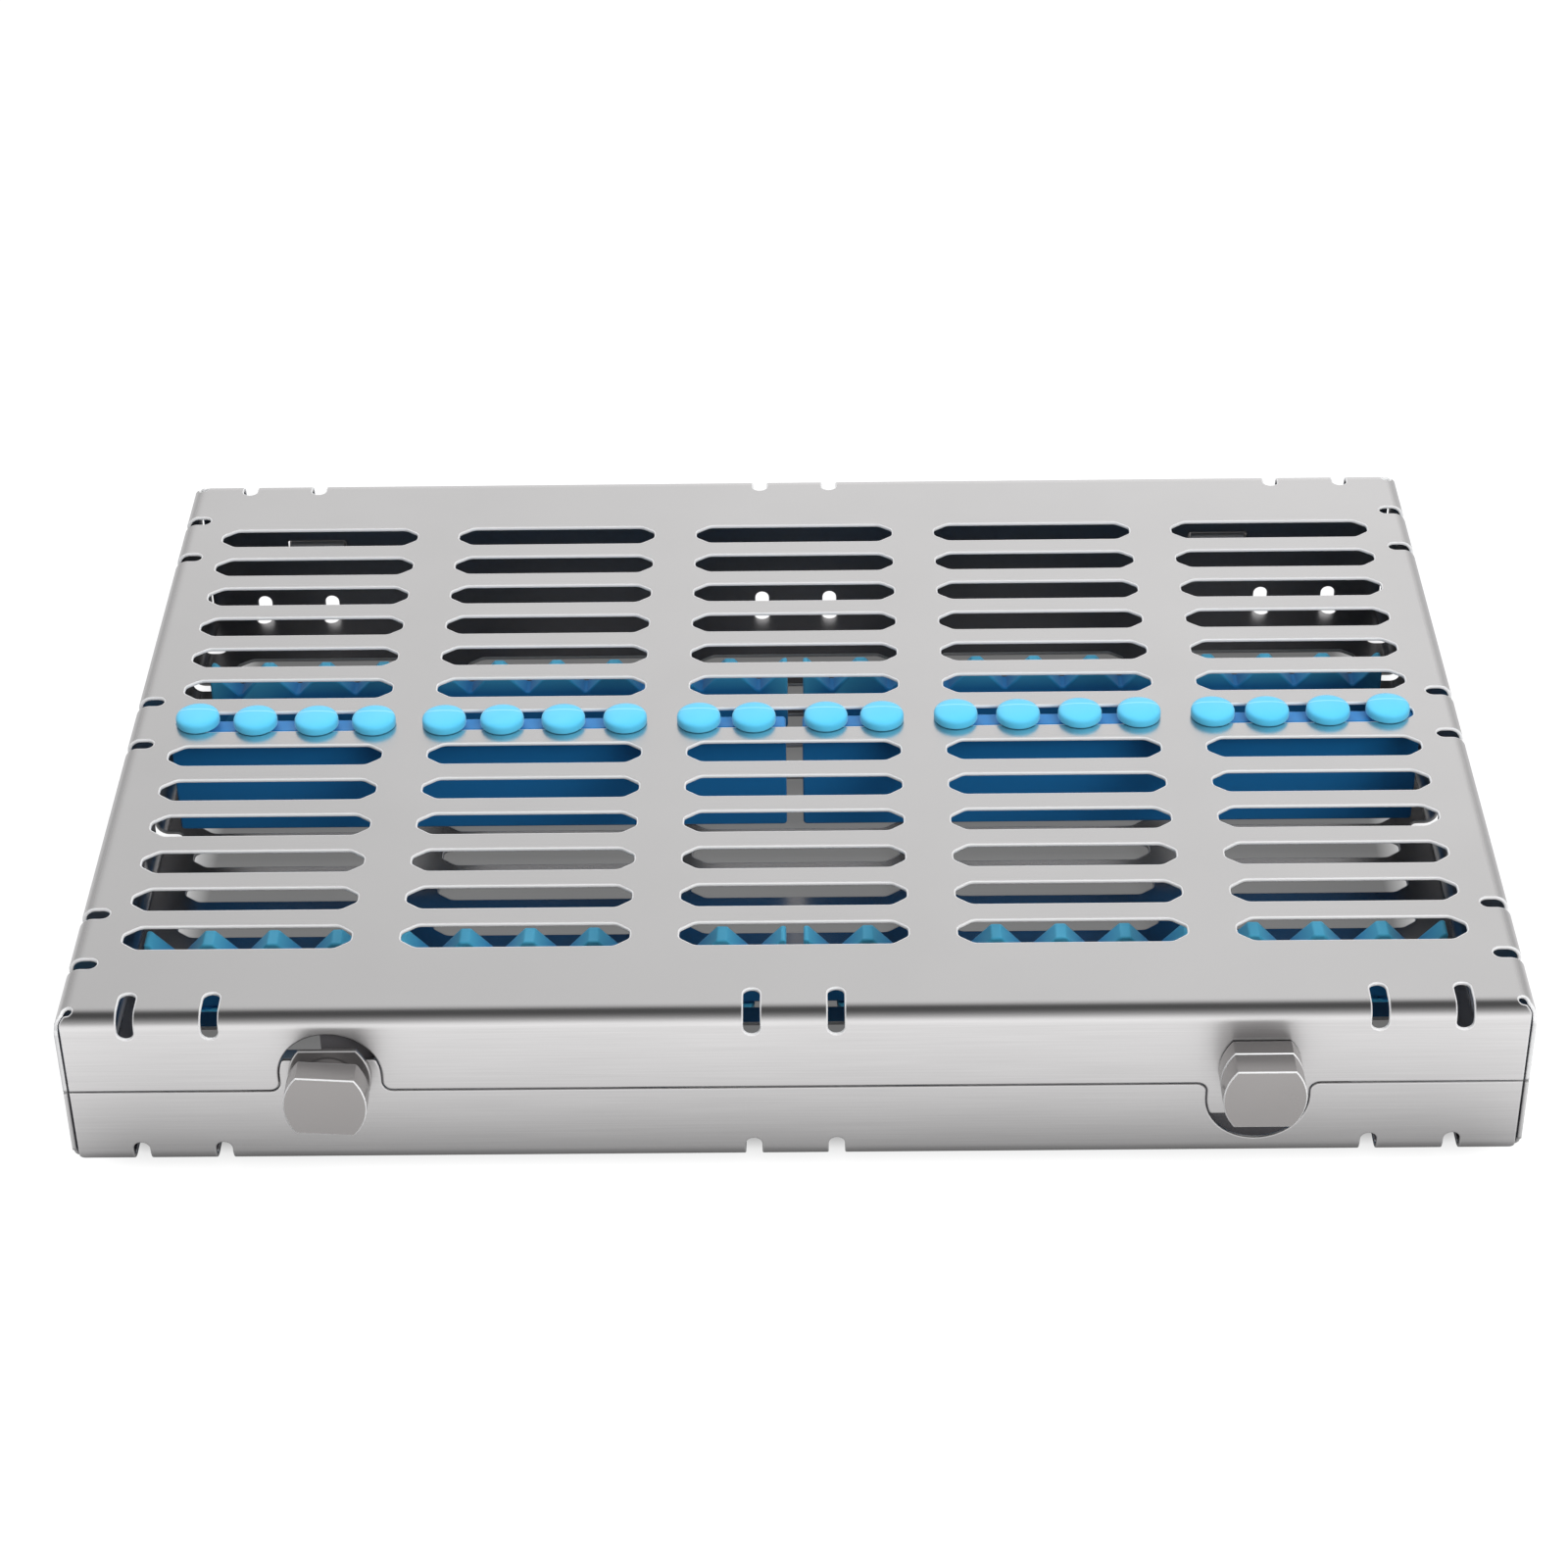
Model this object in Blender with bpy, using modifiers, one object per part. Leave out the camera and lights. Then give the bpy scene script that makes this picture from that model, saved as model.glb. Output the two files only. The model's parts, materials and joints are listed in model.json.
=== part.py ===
"""A hinged cassette of folded stainless sheet for twenty slim hand instruments.

The base and the lid are one tray made twice: the lid is the base turned half a turn about the Y
axis, so each tab of one tray stands in the notch of the other. Toothed silicone rails carry the
instruments, plain strips under the lid hold them down, and two knobs on the front lock the lid.

Metres, +Z up, +X to the right and +Y to the rear, with the origin under the middle of the feet.
The text below gives places in the tray's frame: X and Y from the middle of the plan, Z from the
underside of the base floor.
"""

import math

import bmesh
import bpy
from mathutils import Matrix, Vector

# Trays
LENGTH = 0.280
WIDTH = 0.200
TRAY_HEIGHT = 0.018
SHEET = 0.0008
BEND_RADIUS = 0.003
BEND_STEPS = 3
PARTING_GAP = 0.0003
SEAM = 0.00035
RELIEF_RADIUS = 0.0014

# Slots in floor and top: the first and last keep their distance from the ends and sides
SLOT_ROWS = 13
SLOT_COLUMNS = 5
SLOT_WIDTH = 0.0073
SLOT_INSET = 0.0098
SLOT_BRIDGE = 0.0096
ROW_INSET = 0.025
COLUMN_PITCH = (LENGTH - 2 * SLOT_INSET + SLOT_BRIDGE) / SLOT_COLUMNS
SLOT_LENGTH = COLUMN_PITCH - SLOT_BRIDGE
ROW_PITCH = (WIDTH - 2 * ROW_INSET) / (SLOT_ROWS - 1)

# Short notches that wrap round the bends, in pairs
NOTCH_WIDTH = 0.0032
NOTCH_PAIR = 0.016
NOTCH_REACH = 0.005
NOTCH_RISE = 0.0053
NOTCH_INSET_X = 0.0215
NOTCH_INSET_Y = 0.025

# Latch tab and the arched notch it stands in
LATCH_INSET = 0.0515
ARCH_RADIUS = 0.00995
ARCH_STRAIGHT = 0.0036
ARCH_CORNER = 0.0018
TAB_GAP = 0.00025
TAB_RISE = 0.0075

# Knobs and what turns behind the wall
SHAFT_RISE = 0.0039
SHAFT_RADIUS = 0.0025
SHAFT_FLATS = 0.0036
KNOB_WIDTH = 0.0158
KNOB_HEIGHT = 0.0134
KNOB_FLAT = 0.0110
KNOB_DEPTH = 0.0052
KNOB_REACH = 0.0097
KNOB_CHAMFER = 0.0003
KNOB_TILT_LEFT = 4.0
COLLAR_LEFT = 0.0010
COLLAR_RIGHT = 0.0039
NECK_RADIUS = 0.0052
WASHER_THICK = 0.0006
WASHER_RADIUS = 0.0044
CAM_THICK = 0.0015
CAM_RADIUS = 0.0094
CAM_HUB = 0.0040
CAM_LIP = 0.0015
SCREW_HEAD = 0.0016
SCREW_HEAD_RADIUS = 0.0033
SCREW_RADIUS = 0.0010
SCREW_LENGTH = 0.0030

# Keeper brackets
KEEPER_LENGTH = 0.0120
KEEPER_FOOT = 0.0064
KEEPER_START = 0.0055
KEEPER_DEPTH = 0.0036
KEEPER_PLATE = 0.0008
KEEPER_WELD = 0.0080

# Hinges
HINGE_INSET = 0.0339
KNUCKLE_LENGTH = 0.0127
KNUCKLE_GAP = 0.0005
KNUCKLE_RADIUS = 0.0026
PIN_RADIUS = 0.0015
PIN_PROUD = 0.0005
HINGE_CUT = 0.0026
ROLL_STEPS = 12
ROLL_TURN = 300.0

# Silicone: each strip runs from the middle gap to a clearance from the end wall, and its pegs
# keep their distance from the ends of the slots they stand in
STRIP_GAP = 0.0035
STRIP_INSET = 0.00825
STRIP_LENGTH = (LENGTH - STRIP_GAP) / 2 - STRIP_INSET
TOOTH_COUNT = 10
TOOTH_TOP = 0.0020
TOOTH_DEPTH = 0.0056
TOOTH_FLOOR = 0.0008
RAIL_THICK = 0.0050
RAIL_TOP = 0.0170
RAIL_ROW = 4
HOLD_THICK = 0.0042
HOLD_BOTTOM = 0.0104
PEG_NECK = 0.0021
PEG_HEAD = 0.0046
PEG_RIM = 0.0011
PEG_CROWN = 0.0024
PEG_HEIGHT = 0.0023
PEG_ROOT = 0.0015
PEG_SIDES = 8
HOLD_PEG_INSET = 0.0036
RAIL_PEG_INSET = 0.0092
HOLD_SHRINK = 0.0005

# Running and seating clearance, and the hair that keeps joined shapes off one another's planes
CLEAR = 0.0003
SKIN = 0.00002

# Worked out from the sizes above
HALF_LENGTH = LENGTH / 2
HALF_WIDTH = WIDTH / 2
LATCH_X = HALF_LENGTH - LATCH_INSET
HINGE_X = HALF_LENGTH - HINGE_INSET
NOTCH_END_X = HALF_LENGTH - NOTCH_INSET_X
NOTCH_END_Y = HALF_WIDTH - NOTCH_INSET_Y
HOLD_PEG_PITCH = (SLOT_LENGTH - 2 * HOLD_PEG_INSET) / 3
HOLD_COLUMN_PITCH = COLUMN_PITCH - HOLD_SHRINK
RAIL_PEG_PITCH = SLOT_LENGTH - 2 * RAIL_PEG_INSET
CLOSED_HEIGHT = 2 * TRAY_HEIGHT
PIN_Y = HALF_WIDTH - SHEET + KNUCKLE_RADIUS
FOOT_DROP = CLEAR + PEG_HEIGHT
FRONT_REACH = HALF_WIDTH + KNOB_REACH
REAR_REACH = PIN_Y + KNUCKLE_RADIUS
ORIGIN = Vector((0.0, (FRONT_REACH - REAR_REACH) / 2, FOOT_DROP))
LID_AXIS = Vector((0.0, PIN_Y, TRAY_HEIGHT))
LATCH_Z = TRAY_HEIGHT + SHAFT_RISE
KNUCKLE_INSIDE = KNUCKLE_RADIUS - SHEET
RAIL_Y = RAIL_ROW * ROW_PITCH

PAST = 0.002
STEEL = dict(colour=(0.62, 0.61, 0.60, 1.0), metallic=1.0, roughness=0.32)
POLISHED = dict(colour=(0.70, 0.69, 0.68, 1.0), metallic=1.0, roughness=0.20)
SILICONE = dict(colour=(0.09, 0.53, 0.86, 1.0), metallic=0.0, roughness=0.55)


def clear_scene():
    """Start from an empty file."""
    for old in list(bpy.data.objects):
        bpy.data.objects.remove(old)


def new_collection(name):
    """A collection linked under the scene's own."""
    group = bpy.data.collections.new(name)
    bpy.context.scene.collection.children.link(group)
    return group


def new_material(name, colour, metallic, roughness):
    """A Principled BSDF with one colour."""
    material = bpy.data.materials.new(name)
    material.use_nodes = True
    shader = material.node_tree.nodes["Principled BSDF"]
    shader.inputs["Base Color"].default_value = colour
    shader.inputs["Metallic"].default_value = metallic
    shader.inputs["Roughness"].default_value = roughness
    return material


def new_object(name, mesh, group):
    """An object in a collection."""
    item = bpy.data.objects.new(name, mesh)
    group.objects.link(item)
    return item


def mesh_of(bm, name):
    """Turn a bmesh into a mesh whose faces point outwards."""
    bmesh.ops.recalc_face_normals(bm, faces=bm.faces)
    mesh = bpy.data.meshes.new(name)
    bm.to_mesh(mesh)
    bm.free()
    return mesh


def applied(item):
    """The evaluated mesh of a helper object, which is then removed."""
    depsgraph = bpy.context.evaluated_depsgraph_get()
    mesh = bpy.data.meshes.new_from_object(item.evaluated_get(depsgraph))
    bpy.data.objects.remove(item)
    return mesh


def outline_mesh(points, thickness):
    """A flat plate of this outline in the XY plane, its thickness split about Z = 0."""
    curve = bpy.data.curves.new("outline", "CURVE")
    curve.dimensions = "2D"
    curve.fill_mode = "BOTH"
    curve.extrude = thickness / 2
    spline = curve.splines.new("POLY")
    spline.points.add(len(points) - 1)
    for point, (across, along) in zip(spline.points, points):
        point.co = (across, along, 0.0, 1.0)
    spline.use_cyclic_u = True
    flat = applied(new_object("outline", curve, bpy.context.scene.collection))
    bm = bmesh.new()
    bm.from_mesh(flat)
    bmesh.ops.remove_doubles(bm, verts=bm.verts, dist=1e-7)
    return mesh_of(bm, "plate")


def turned_mesh(profile, steps):
    """A profile of (radius, height) pairs, top to bottom, turned about Z."""
    mesh = bpy.data.meshes.new("turned")
    mesh.from_pydata([(r, 0.0, z) for r, z in profile], [(i, i + 1) for i in range(len(profile) - 1)], [])
    item = new_object("turned", mesh, bpy.context.scene.collection)
    screw = item.modifiers.new("turn", "SCREW")
    screw.steps = screw.render_steps = steps
    screw.use_merge_vertices = True
    screw.merge_threshold = 1e-6
    bm = bmesh.new()
    bm.from_mesh(applied(item))
    bmesh.ops.remove_doubles(bm, verts=bm.verts, dist=1e-7)
    return mesh_of(bm, "turned")


def joined(pieces):
    """One mesh of several, each given with its matrix."""
    bm = bmesh.new()
    for mesh, matrix in pieces:
        copy = mesh.copy()
        copy.transform(matrix)
        bm.from_mesh(copy)
        bpy.data.meshes.remove(copy)
    return mesh_of(bm, "joined")


def box_mesh(low, high):
    """A box between two corners."""
    size = Vector(high) - Vector(low)
    place = Matrix.Translation((Vector(low) + Vector(high)) / 2) @ Matrix.Diagonal((*size, 1.0))
    bm = bmesh.new()
    bmesh.ops.create_cube(bm, size=1.0, matrix=place)
    return mesh_of(bm, "box")


def slot_mesh(length, width, depth, sides=8):
    """A round-ended prism along X: a cylinder whose two halves are drawn apart."""
    bm = bmesh.new()
    radius = width / 2 / math.cos(math.pi / sides)
    turn = Matrix.Rotation(math.pi / sides, 4, "Z")
    bmesh.ops.create_cone(
        bm, cap_ends=True, segments=sides, radius1=radius, radius2=radius, depth=depth, matrix=turn
    )
    for vert in bm.verts:
        vert.co.x += math.copysign((length - width) / 2, vert.co.x)
    return mesh_of(bm, "slot")


def arc(centre, radius, start, end, steps):
    """Points on an arc, angles in degrees, both ends included."""
    turns = [math.radians(start + (end - start) * i / steps) for i in range(steps + 1)]
    return [(centre[0] + radius * math.cos(t), centre[1] + radius * math.sin(t)) for t in turns]


def shift(x=0.0, y=0.0, z=0.0):
    """A move, as a matrix."""
    return Matrix.Translation((x, y, z))


# A plate drawn in XY stands up in XZ, its outline's second axis along +Z.
STAND_UP = Matrix.Rotation(math.pi / 2, 4, "X")
# The same plate turned to lie in YZ, its outline's first axis along +Y.
STAND_ACROSS = Matrix.Rotation(math.pi / 2, 4, "Z") @ STAND_UP


class Model:
    """The collections, materials and empties that every piece needs."""

    def __init__(self):
        clear_scene()
        self.parts = new_collection("instrument_cassette")
        self.cutters = new_collection("cutters")
        self.steel = new_material("satin_steel", **STEEL)
        self.polished = new_material("polished_steel", **POLISHED)
        self.silicone = new_material("blue_silicone", **SILICONE)
        self.root = self.empty("cassette_frame", Vector((0.0, 0.0, 0.0)), None)
        self.root.location = ORIGIN
        self.lid = self.empty("lid_hinge_axis", LID_AXIS, self.root)
        self.latch_left = self.empty("latch_axis_left", self.latch_place(-1), self.root)
        self.latch_right = self.empty("latch_axis_right", self.latch_place(1), self.lid)

    @staticmethod
    def latch_place(side):
        """Where a knob's axis leaves the front wall."""
        return Vector((side * LATCH_X, -HALF_WIDTH, LATCH_Z))

    def empty(self, name, place, parent):
        """An empty at a place in the tray's frame."""
        item = new_object(name, None, self.parts)
        item["place"] = place
        if parent:
            item.parent = parent
            item.location = place - Vector(parent["place"])
        return item

    def cutter(self, name, mesh, parent=None):
        """A mesh that only cuts or joins another."""
        item = new_object(name, mesh, self.cutters)
        item.hide_render = True
        item.display_type = "WIRE"
        item.parent = parent or self.root
        return item

    def piece(self, name, mesh, material, parent, place=Vector((0.0, 0.0, 0.0))):
        """A finished piece whose mesh is drawn about a place in the tray's frame."""
        item = new_object(name, mesh, self.parts)
        item.parent = parent
        item.location = Vector(place) - Vector(parent["place"])
        mesh.materials.append(material)
        return item


def boolean(item, other, operation):
    """Cut a piece by another, or join one to it."""
    modifier = item.modifiers.new(other.name, "BOOLEAN")
    modifier.operation = operation
    modifier.solver = "EXACT"
    modifier.object = other


def tray_shell():
    """The outer skin of a tray, open at the top, its four bottom edges rounded."""
    top = TRAY_HEIGHT + TAB_RISE
    bm = bmesh.new()
    place = shift(z=top / 2) @ Matrix.Diagonal((LENGTH, WIDTH, top, 1.0))
    bmesh.ops.create_cube(bm, size=1.0, matrix=place)
    bmesh.ops.delete(bm, geom=[f for f in bm.faces if f.normal.z > 0.5], context="FACES_ONLY")
    low = [e for e in bm.edges if all(v.co.z < top / 2 for v in e.verts)]
    bmesh.ops.bevel(
        bm, geom=low, offset=BEND_RADIUS, segments=BEND_STEPS, profile=0.5, affect="EDGES"
    )
    return mesh_of(bm, "tray")


def parting_outlines():
    """What comes off the front wall above the parting line, left and right of the tab.

    The tab is a round-shouldered arch cut off flat, and the notch that takes the other
    tray's tab is the whole arch, upside down, with its two corners rounded.
    """
    edge = TRAY_HEIGHT - PARTING_GAP / 2
    over = TRAY_HEIGHT + TAB_RISE + PAST
    end = HALF_LENGTH + PAST
    radius = ARCH_RADIUS - TAB_GAP
    foot = ARCH_CORNER + TAB_GAP
    centre = TRAY_HEIGHT + ARCH_STRAIGHT
    lift = math.degrees(math.asin((over - centre) / radius))
    shoulder = arc((0.0, centre), radius, 0.0, lift, 6)
    side = arc((radius + foot, edge + foot), foot, 270.0, 180.0, 4) + shoulder
    right_of_tab = [(-LATCH_X + x, z) for x, z in side]
    left_of_tab = [(-LATCH_X - x, z) for x, z in side]
    low = TRAY_HEIGHT - ARCH_STRAIGHT
    corner = arc((-ARCH_RADIUS - ARCH_CORNER, edge - ARCH_CORNER), ARCH_CORNER, 90.0, 0.0, 4)
    notch = corner + arc((0.0, low), ARCH_RADIUS, 180.0, 360.0, 16)
    notch += [(-x, z) for x, z in reversed(corner)]
    left = left_of_tab + [(-end, over), (-end, edge)]
    right = right_of_tab[::-1] + [(LATCH_X + x, z) for x, z in notch]
    right += [(end, edge), (end, over)]
    return left, right


def knuckle_outline():
    """A sheet end rolled into an eye, in YZ: up the rear wall, over the top and round."""
    start, end = 180.0, 180.0 - ROLL_TURN
    eye = (PIN_Y, TRAY_HEIGHT)
    foot = TRAY_HEIGHT - 2 * SHEET
    outer = arc(eye, KNUCKLE_RADIUS - SKIN, start, end, ROLL_STEPS)
    inner = arc(eye, KNUCKLE_INSIDE + SKIN, end, start, ROLL_STEPS)
    return [(outer[0][0], foot)] + outer + inner + [(inner[-1][0], foot)]


def knuckle_range(side, own):
    """From and to along X of this tray's knuckle of a hinge, or of the other tray's."""
    outward = side if (side < 0) == own else -side
    near = HINGE_X * side + outward * KNUCKLE_GAP / 2
    far = near + outward * KNUCKLE_LENGTH
    return min(near, far), max(near, far)


def edge_notches(flat, upright):
    """Notches in pairs across the bends of all four sides: one slot in plan, one in the wall."""
    flats, uprights = [], []
    quarter = Matrix.Rotation(math.pi / 2, 4, "Z")
    for step in (-1, 0, 1):
        for half in (-0.5, 0.5):
            x = step * NOTCH_END_X + half * NOTCH_PAIR
            y = step * NOTCH_END_Y + half * NOTCH_PAIR
            for way in (-1, 1):
                spots = (
                    shift(x, way * HALF_WIDTH) @ quarter,
                    shift(way * HALF_LENGTH, y),
                )
                for spot in spots:
                    flats.append((flat, spot))
                    uprights.append((upright, spot))
    return joined(flats), joined(uprights)


def tray_cutters(model, name, shaft_z, parent, turn):
    """Every cutter of one tray, in the tray's own frame."""
    past = PAST
    slot = slot_mesh(SLOT_LENGTH, SLOT_WIDTH, 2 * BEND_RADIUS)
    slots = []
    for row in range(SLOT_ROWS):
        for column in range(SLOT_COLUMNS):
            x = (column - (SLOT_COLUMNS - 1) / 2) * COLUMN_PITCH
            y = (row - (SLOT_ROWS - 1) / 2) * ROW_PITCH
            slots.append((slot, shift(x, y)))

    flat = slot_mesh(2 * NOTCH_REACH, NOTCH_WIDTH, 2 * BEND_RADIUS, 6)
    upright = slot_mesh(2 * NOTCH_RISE, NOTCH_WIDTH - 2 * SKIN, 2 * BEND_RADIUS, 6)
    upright.transform(Matrix.Rotation(math.pi / 2, 4, "Y"))
    flats, uprights = edge_notches(flat, upright)

    left, right = parting_outlines()
    front = shift(y=-HALF_WIDTH) @ STAND_UP
    above = joined([(outline_mesh(left, 4 * SHEET), front), (outline_mesh(right, 4 * SHEET), front)])
    rest = box_mesh(
        (-HALF_LENGTH - past, -HALF_WIDTH + 1.25 * SHEET, TRAY_HEIGHT - PARTING_GAP / 2),
        (HALF_LENGTH + past, HALF_WIDTH + past, TRAY_HEIGHT + TAB_RISE + past),
    )

    clear = []
    for side in (-1, 1):
        near, far = knuckle_range(side, False)
        clear.append(
            (
                box_mesh(
                    (near - KNUCKLE_GAP, HALF_WIDTH - 2 * SHEET, TRAY_HEIGHT - HINGE_CUT),
                    (far + KNUCKLE_GAP, REAR_REACH + past, TRAY_HEIGHT + KNUCKLE_RADIUS + past),
                ),
                Matrix.Identity(4),
            )
        )

    seams, reliefs = [], []
    relief = slot_mesh(2 * RELIEF_RADIUS, 2 * RELIEF_RADIUS, 3 * BEND_RADIUS)
    for x_way in (-1, 1):
        for y_way in (-1, 1):
            edge = HALF_LENGTH - SHEET
            near, far = sorted((x_way * edge, x_way * (edge - SEAM)))
            front_y, back_y = sorted((y_way * (HALF_WIDTH + past), y_way * (HALF_WIDTH - SHEET - CLEAR)))
            seams.append(
                (
                    box_mesh((near, front_y, BEND_RADIUS / 2), (far, back_y, TRAY_HEIGHT + past)),
                    Matrix.Identity(4),
                )
            )
            drill = Vector((x_way, y_way, -1.0))
            inset = BEND_RADIUS * (1 - 1 / math.sqrt(3))
            corner = shift(x_way * (HALF_LENGTH - inset), y_way * (HALF_WIDTH - inset), inset)
            reliefs.append((relief, corner @ drill.to_track_quat("Z", "X").to_matrix().to_4x4()))

    hole = slot_mesh(2 * (SHAFT_RADIUS + CLEAR), 2 * (SHAFT_RADIUS + CLEAR), 4 * SHEET, 16)
    bore = (hole, shift(-LATCH_X, -HALF_WIDTH, shaft_z) @ STAND_UP)

    meshes = {
        "above": above,
        "rest": rest,
        "slots": joined(slots + reliefs + [bore]),
        "flats": flats,
        "uprights": uprights,
        "seams": joined(seams),
        "clear": joined(clear),
    }
    cutters = {}
    for key, mesh in meshes.items():
        cutter = model.cutter(f"{name}_{key}", mesh, parent)
        cutter.matrix_local = turn
        cutters[key] = cutter
    return cutters


def make_tray(model, name, shaft_z, parent, turn):
    """A folded tray: skin, wall thickness, parting line, rolled eyes, then every opening."""
    tray = model.piece(name, tray_shell(), model.steel, parent)
    tray.matrix_local = turn
    wall = tray.modifiers.new("sheet", "SOLIDIFY")
    wall.thickness = SHEET
    wall.offset = -1.0
    wall.use_even_offset = True
    cutters = tray_cutters(model, name, shaft_z, parent, turn)
    boolean(tray, cutters["rest"], "DIFFERENCE")
    boolean(tray, cutters["above"], "DIFFERENCE")

    eyes = []
    for side in (-1, 1):
        near, far = knuckle_range(side, True)
        plate = outline_mesh(knuckle_outline(), far - near)
        eyes.append((plate, shift(x=(near + far) / 2) @ STAND_ACROSS))
    knuckles = model.cutter(f"{name}_knuckles", joined(eyes), parent)
    knuckles.matrix_local = turn
    boolean(tray, knuckles, "UNION")
    for key in ("clear", "slots", "flats", "uprights", "seams"):
        boolean(tray, cutters[key], "DIFFERENCE")
    return tray


def peg_mesh(sides=PEG_SIDES):
    """A silicone peg pointing up: its neck goes through a slot and a domed head sits outside."""
    seat = CLEAR + SHEET + CLEAR
    top = seat + PEG_HEIGHT
    profile = [
        (0.0, top),
        (PEG_CROWN, top),
        (PEG_HEAD, seat + PEG_RIM),
        (PEG_HEAD, seat),
        (PEG_NECK, seat),
        (PEG_NECK, -PEG_ROOT),
        (0.0, -PEG_ROOT),
    ]
    return turned_mesh(profile, sides)


def hold_peg_places():
    """X of the ten pegs of a half strip under the lid: two in the middle slot, four in each next."""
    places = []
    for column in range(3):
        for step in (-1.5, -0.5, 0.5, 1.5):
            x = column * HOLD_COLUMN_PITCH + step * HOLD_PEG_PITCH
            if x > 0:
                places.append(x)
    return places


def rail_peg_places():
    """X of the pegs of a half rail: one in the middle slot, two in each of the next."""
    places = []
    for column in range(3):
        for step in (-0.5, 0.5):
            x = column * COLUMN_PITCH + step * RAIL_PEG_PITCH
            if x > 0:
                places.append(x)
    return places


def tooth_outline():
    """A rail seen from the front, drawn to the right of the middle, with ten V-shaped rests."""
    start = STRIP_GAP / 2
    pitch = STRIP_LENGTH / TOOTH_COUNT
    points = [(start, SHEET + CLEAR), (start + STRIP_LENGTH, SHEET + CLEAR), (start + STRIP_LENGTH, RAIL_TOP)]
    for tooth in reversed(range(TOOTH_COUNT)):
        middle = start + (tooth + 0.5) * pitch
        half = (pitch - TOOTH_TOP) / 2
        points += [
            (middle + half, RAIL_TOP),
            (middle + TOOTH_FLOOR / 2, RAIL_TOP - TOOTH_DEPTH),
            (middle - TOOTH_FLOOR / 2, RAIL_TOP - TOOTH_DEPTH),
            (middle - half, RAIL_TOP),
        ]
    points.append((start, RAIL_TOP))
    return points


def make_strip(model, name, outline, thickness, side, y, pegs, peg_z, point_up, parent):
    """A silicone strip of this outline at Y, with pegs that point up or down from it."""
    points = [(side * x, z) for x, z in outline]
    plate = outline_mesh(points, thickness)
    plate.transform(STAND_UP)
    place = Vector((0.0, y, 0.0))
    strip = model.piece(name, plate, model.silicone, parent, place)
    turn = Matrix.Identity(4) if point_up else Matrix.Rotation(math.pi, 4, "X")
    peg = peg_mesh()
    spots = [(peg, shift(side * x, 0.0, peg_z) @ turn) for x in pegs]
    heads = model.cutter(f"{name}_pegs", joined(spots), parent)
    heads.location = strip.location
    boolean(strip, heads, "UNION")
    return strip


def make_silicone(model):
    """Four toothed rails on the floor and two plain strips under the lid."""
    for row, y in (("front", -RAIL_Y), ("rear", RAIL_Y)):
        for hand, side in (("left", -1), ("right", 1)):
            make_strip(
                model, f"rail_{row}_{hand}", tooth_outline(), RAIL_THICK, side, y,
                rail_peg_places(), SHEET + CLEAR, False, model.root,
            )
    start = STRIP_GAP / 2
    top = CLOSED_HEIGHT - SHEET - CLEAR
    plain = [
        (start, HOLD_BOTTOM),
        (start + STRIP_LENGTH, HOLD_BOTTOM),
        (start + STRIP_LENGTH, top),
        (start, top),
    ]
    for hand, side in (("left", -1), ("right", 1)):
        make_strip(
            model, f"hold_down_{hand}", plain, HOLD_THICK, side, 0.0,
            hold_peg_places(), top, True, model.lid,
        )


def knob_outline():
    """A round cut off flat above and below; its sides are arcs through the flats' ends."""
    half_width, half_height, half_flat = KNOB_WIDTH / 2, KNOB_HEIGHT / 2, KNOB_FLAT / 2
    back = (half_width**2 - half_flat**2 - half_height**2) / (2 * (half_width - half_flat))
    radius = half_width - back
    open_angle = math.degrees(math.asin(half_height / radius))
    right = arc((back, 0.0), radius, -open_angle, open_angle, 8)
    return right + [(-x, -z) for x, z in right]


def round_prism(radius, front, rear, sides=16):
    """A round bar along Y between two depths from the wall's outer face."""
    mesh = slot_mesh(2 * radius, 2 * radius, rear - front, sides)
    mesh.transform(shift(y=(front + rear) / 2) @ STAND_UP)
    return mesh


def plate_on_axis(outline, front, rear):
    """A plate of this outline, square to the knob's axis, between two depths from the wall."""
    mesh = outline_mesh(outline, rear - front)
    mesh.transform(shift(y=(front + rear) / 2) @ STAND_UP)
    return mesh


def chamfer(item, width):
    """A small flat on the rim edges of a prism."""
    bevel = item.modifiers.new("chamfer", "BEVEL")
    bevel.width = width
    bevel.segments = 1
    bevel.limit_method = "ANGLE"
    bevel.angle_limit = math.radians(60.0)


def cam_outline(left):
    """A quarter disc with a lip below its edges, round a hub; drawn as it rests, unlocked."""
    lip = math.degrees(math.asin(CAM_LIP / CAM_RADIUS))
    hub_lip = math.degrees(math.asin(CAM_LIP / CAM_HUB))
    wing = arc((0.0, 0.0), CAM_RADIUS, -lip, 90.0 + lip, 8)
    hub = arc((0.0, 0.0), CAM_HUB, 90.0 + hub_lip, 360.0 - hub_lip, 8)
    points = wing + hub
    return points if left else [(-x, -z) for x, z in points]


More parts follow.
